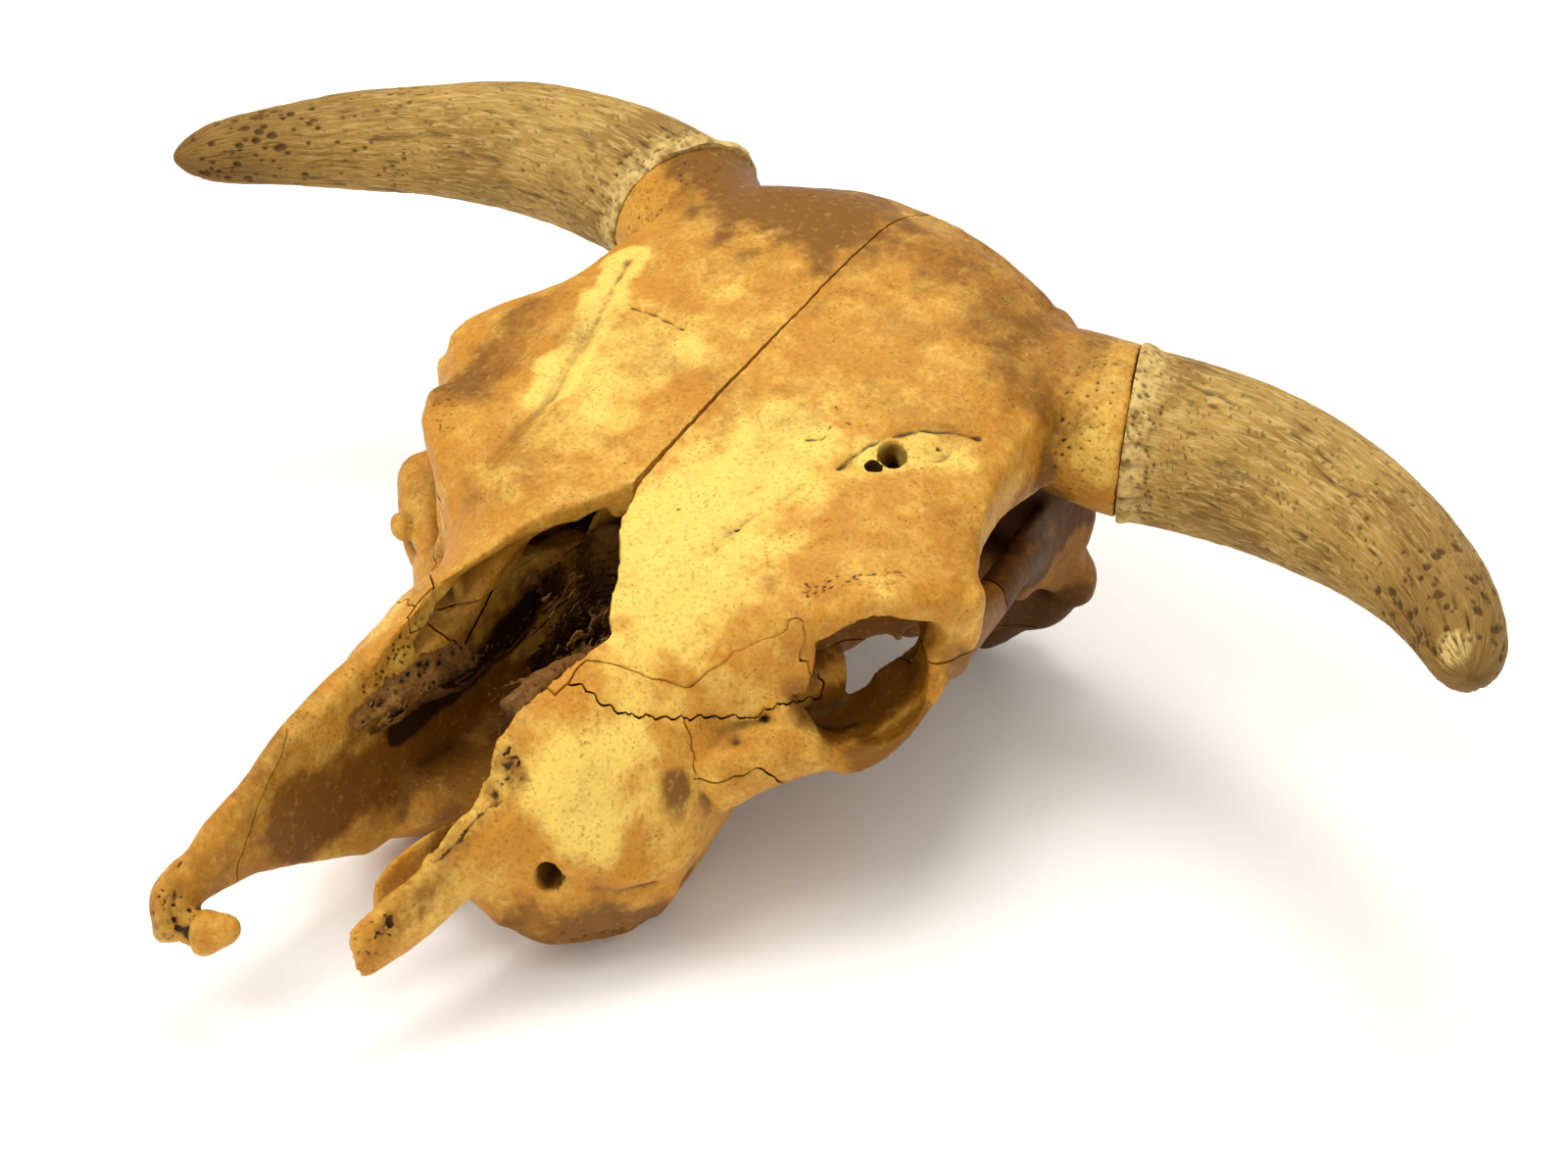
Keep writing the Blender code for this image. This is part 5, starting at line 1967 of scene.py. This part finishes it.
FINISHES = {
    Slot.FACE: BoneFinish("dry_ochre_face_bone", "#ECC862", "#BE8228", "#7A4E10", "#2A1805",
                          0.50, 0.0),
    # hind bones darker: stains, and painted shade of the temporal fossa and the ear region
    Slot.HIND: BoneFinish("soil_stained_hind_bone", "#AC7829", "#835615", "#54330A", "#201103",
                          0.60, 0.04),
    # inner nose darker, partly painted shade of the nose cavity
    Slot.NOSE: BoneFinish("dark_inner_nose_bone", "#B88A4C", "#6A4310", "#3A2106", "#140902",
                          0.70, 0.05, pores=0.9),
    Slot.HORN: HornCoreFinish("porous_horn_core_bone", "#D4B874", "#AC8844", "#76521C",
                              "#3C260E", 0.66, 0.0),
}


@dataclass(frozen=True)
class Patch:
    """A soft-edged area that is paler, from wear and painted highlight, or darker, from stain and
    painted shade, than the rest.
    """

    path: Path
    reach: float               # how far it spreads from its path, mm
    strength: float


PATCHES = {
    # pale: worn bone, and painted highlights, mainly on the front of the forehead and the middle
    # of the left maxilla
    "pale": tuple(Patch(*row) for row in (
        (((45, -35, 140), (32, 5, 152), (38, 26, 160)), 38, 1.0),
        (((60, -88, 95), (58, -100, 85)), 28, 0.9),
        (((-45, 20, 156), (-40, 60, 170)), 36, 0.5),
        (((-94, 107, 177), (-76, 63, 170), (-67, 25, 158)), 13, 1.3),
        (((75, 60, 167), (95, 80, 168)), 12, 0.9),
        (((50, -70, 116), (64, -58, 108)), 13, 0.3),
        (((22, -46, 106), (24, -34, 114)), 9, 1.6),
        (((122, 146, 176), (124, 140, 150)), 16, 0.4),
        (((-38, -70, 113), (-40, -95, 106)), 12, 0.45),
        (((33, -111, 101), (27, -132, 74), (27, -168, 54)), 9, 0.35),
    )),
    "stain": tuple(Patch(*row) for row in (    # stains, and painted shade in the orbits, the temporal fossa, the ear region and the nose; from a strength of 1.2 up it turns to painted shadow
        (((36, -116, 92), (31, -140, 68), (26, -176, 48)), 9, 0.5),
        (((77, -69, 84), (77, -68, 70)), 8, 1.1),
        (((50, -112, 28), (66, -84, 18), (66, -60, 16)), 22, 1.1),
        (((-10, 190, 200), (60, 176, 192), (90, 150, 184)), 46, 0.6),
        (((-30, 165, 203), (-70, 170, 200), (-90, 190, 190)), 46, 1.2),
        (((-108, 60, 165), (-112, 20, 150)), 22, 0.7),
        (((110, 32, 94), (104, 14, 83), (98, -2, 78)), 17, 1.7),
        (((107, 46, 112), (92, 28, 112), (82, 10, 112)), 20, 1.2),
        (((132, 10, 92), (120, -10, 78)), 12, 1.0),
        (((126, 40, 100), (110, 95, 92), (98, 150, 84)), 20, 1.2),
        (((80, 130, 120), (76, 170, 110)), 40, 1.6),
        (((90, 186, 40), (60, 184, 20)), 22, 1.4),
        (((-34, -158, 62), (-34, -116, 60), (-35, -83, 64), (-34, -50, 70)), 26, 1.1),
        (((-44, -205, 52), (-42, -185, 66), (-40, -160, 86)), 24, 0.5),
        (((0, -80, 60), (0, -20, 80)), 46, 1.3),
        # painted shadow of the deep nose cavity behind the right shelf
        (((-37, -99, 72), (-37, -83, 72), (-37, -60, 74), (-37, -34, 80),
          (-37, -10, 92)), 11, 2.7),
        (((60, 20, 112), (95, -12, 100)), 16, 0.8),
        (((84, -45, 84), (100, -24, 80)), 14, 0.5),
    )),
}


class Painter:
    """Stores the areas of wear and painted highlight, and of stain and painted shade, on a bone
    and gives it its finish.
    """

    RAGS = ((90, 11, 0.30), (91, 4, 0.12))     # seed, size and share of the ragged edge
    EDGE = (1.15, 0.35)        # where a patch ends and where it is full, as shares of its reach

    def __init__(self) -> None:
        """Build every finish once."""
        self.materials = {slot: finish.build() for slot, finish in FINISHES.items()}

    def paint(self, obj: Solid, slot: Slot) -> None:
        """Dress one piece.

        Args:
            obj: the piece, still in mm.
            slot: the record's slot that it belongs to.
        """
        mesh = obj.data
        points = read_rows(mesh.vertices, "co", 3)
        ragged = sum(LatticeNoise(seed).at(points, size) * share
                     for seed, size, share in self.RAGS)
        for layer, patches in PATCHES.items():
            if layer in mesh.attributes:
                continue
            total = np.zeros(len(points))
            for patch in patches:
                distance = path_distance(points, patch.path) / patch.reach
                share = ease(*self.EDGE, distance + ragged)
                total = np.maximum(total, share * patch.strength)
            store_layer(mesh, layer, total)
        mesh.materials.clear()
        mesh.materials.append(self.materials[slot])
        mesh.shade_smooth()
        mesh.set_sharp_from_angle(angle=math.radians(CRISP_ANGLE))


# ---- studio ----

@dataclass
class Studio:
    """Pale floor, soft light and the camera at the photograph's angle."""

    camera_place: Point = (549.29, -659.66, 663.06)     # in the drawing, mm
    azimuth: float = -35.78                             # degrees, from +y towards +x
    pitch: float = 33.06                                # degrees below level
    roll: float = 2.5
    focal_pixels: float = 2600.0                        # of a picture 1600 pixels wide
    picture_width: float = 1600.0
    sensor: float = 36.0                                # mm

    LAMPS = (                        # place and size in metres, power in watts
        ("key", (-0.15, 0.35, 2.0), 0.8, 14.0),
        ("front", (-0.5, -1.1, 1.8), 1.2, 18.0),
    )
    LAMPS_AIM = 0.1                  # height of the spot that the lamps face, m
    SKY_STRENGTH = 0.85
    FLOOR_HALF_WIDTH = 6             # m

    def build(self) -> None:
        """Set up floor, lights and camera."""
        self.floor()
        self.lights()
        self.camera()
        bpy.context.scene.view_settings.view_transform = "Standard"

    def floor(self) -> None:
        """Lay a wide pale sheet under the skull."""
        bm = bmesh.new()
        bmesh.ops.create_grid(bm, x_segments=1, y_segments=1, size=self.FLOOR_HALF_WIDTH)
        mesh = bpy.data.meshes.new("floor")
        bm.to_mesh(mesh)
        bm.free()
        material = bpy.data.materials.new("matt_white_paper")
        material.use_nodes = True
        shader = material.node_tree.nodes["Principled BSDF"]
        shader.inputs["Base Color"].default_value = linear("#FCFCFE")
        shader.inputs["Roughness"].default_value = 0.9
        mesh.materials.append(material)
        linked("floor", mesh)

    def lights(self) -> None:
        """Hang soft lights: a key from the upper left and a sky that fills the shadows."""
        world = bpy.data.worlds.new("sky")
        bpy.context.scene.world = world
        world.use_nodes = True
        background = world.node_tree.nodes["Background"]
        background.inputs["Color"].default_value = linear("#FFFBF2")
        background.inputs["Strength"].default_value = self.SKY_STRENGTH
        for name, place, size, power in self.LAMPS:
            light = bpy.data.lights.new(name, "AREA")
            light.size = size
            light.energy = power
            light.color = linear("#FFFAF2")[:3]
            lamp = linked(name, light)
            lamp.location = place
            aim = Vector((0, 0, self.LAMPS_AIM)) - Vector(place)
            lamp.rotation_euler = aim.to_track_quat("-Z", "Y").to_euler()

    def camera(self) -> None:
        """Stand the camera where the photograph was taken."""
        azimuth, pitch, roll = (math.radians(a) for a in (self.azimuth, self.pitch, self.roll))
        forward = Vector((math.sin(azimuth) * math.cos(pitch),
                          math.cos(azimuth) * math.cos(pitch), -math.sin(pitch)))
        level = Vector((math.cos(azimuth), -math.sin(azimuth), 0))
        rise = level.cross(forward)
        right = math.cos(roll) * level + math.sin(roll) * rise
        up = math.cos(roll) * rise - math.sin(roll) * level
        data = bpy.data.cameras.new("camera")
        data.sensor_width = self.sensor
        data.lens = self.sensor * self.focal_pixels / self.picture_width
        data.clip_start = 0.01
        camera = linked("camera", data)
        place = (Vector(self.camera_place) + Vector(ROOT_OF_NOSE)) * MM
        turn = Matrix((right, up, -forward)).transposed().to_4x4()
        camera.matrix_world = Matrix.Translation(place) @ turn
        bpy.context.scene.camera = camera


def slot_of(node: str) -> Slot:
    """Find the record's slot of a node.

    Args:
        node: name of the node.

    Returns:
        Its slot; every bone that isn't named here is a bone of the face.
    """
    kinds = {"horn": Slot.HORN, "concha": Slot.NOSE, "ethmoid": Slot.NOSE,
             "temporal": Slot.HIND, "occipital": Slot.HIND, "braincase": Slot.HIND}
    return kinds.get(node.split("_")[0], Slot.FACE)


def main() -> None:
    """Build every bone, dress it, and set it in the studio."""
    logging.basicConfig(level=logging.INFO, format="%(message)s")
    painter = Painter()
    pieces = Skull().build()
    pieces.update(InnerNose().build())
    for side, horn in HORN_CORES.items():
        pieces[f"horn_core_{side.word}"] = horn.build()
    to_frame = Matrix.Scale(MM, 4) @ Matrix.Translation(ROOT_OF_NOSE)
    for node, piece in pieces.items():
        slot = slot_of(node)
        painter.paint(piece, slot)
        piece.data.transform(to_frame)
        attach(piece, "root")
        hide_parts(node)
        LOG.info("%s: %d faces in %s", piece.name, len(piece.data.polygons), slot.value)
    Studio().build()


if __name__ == "__main__":
    main()
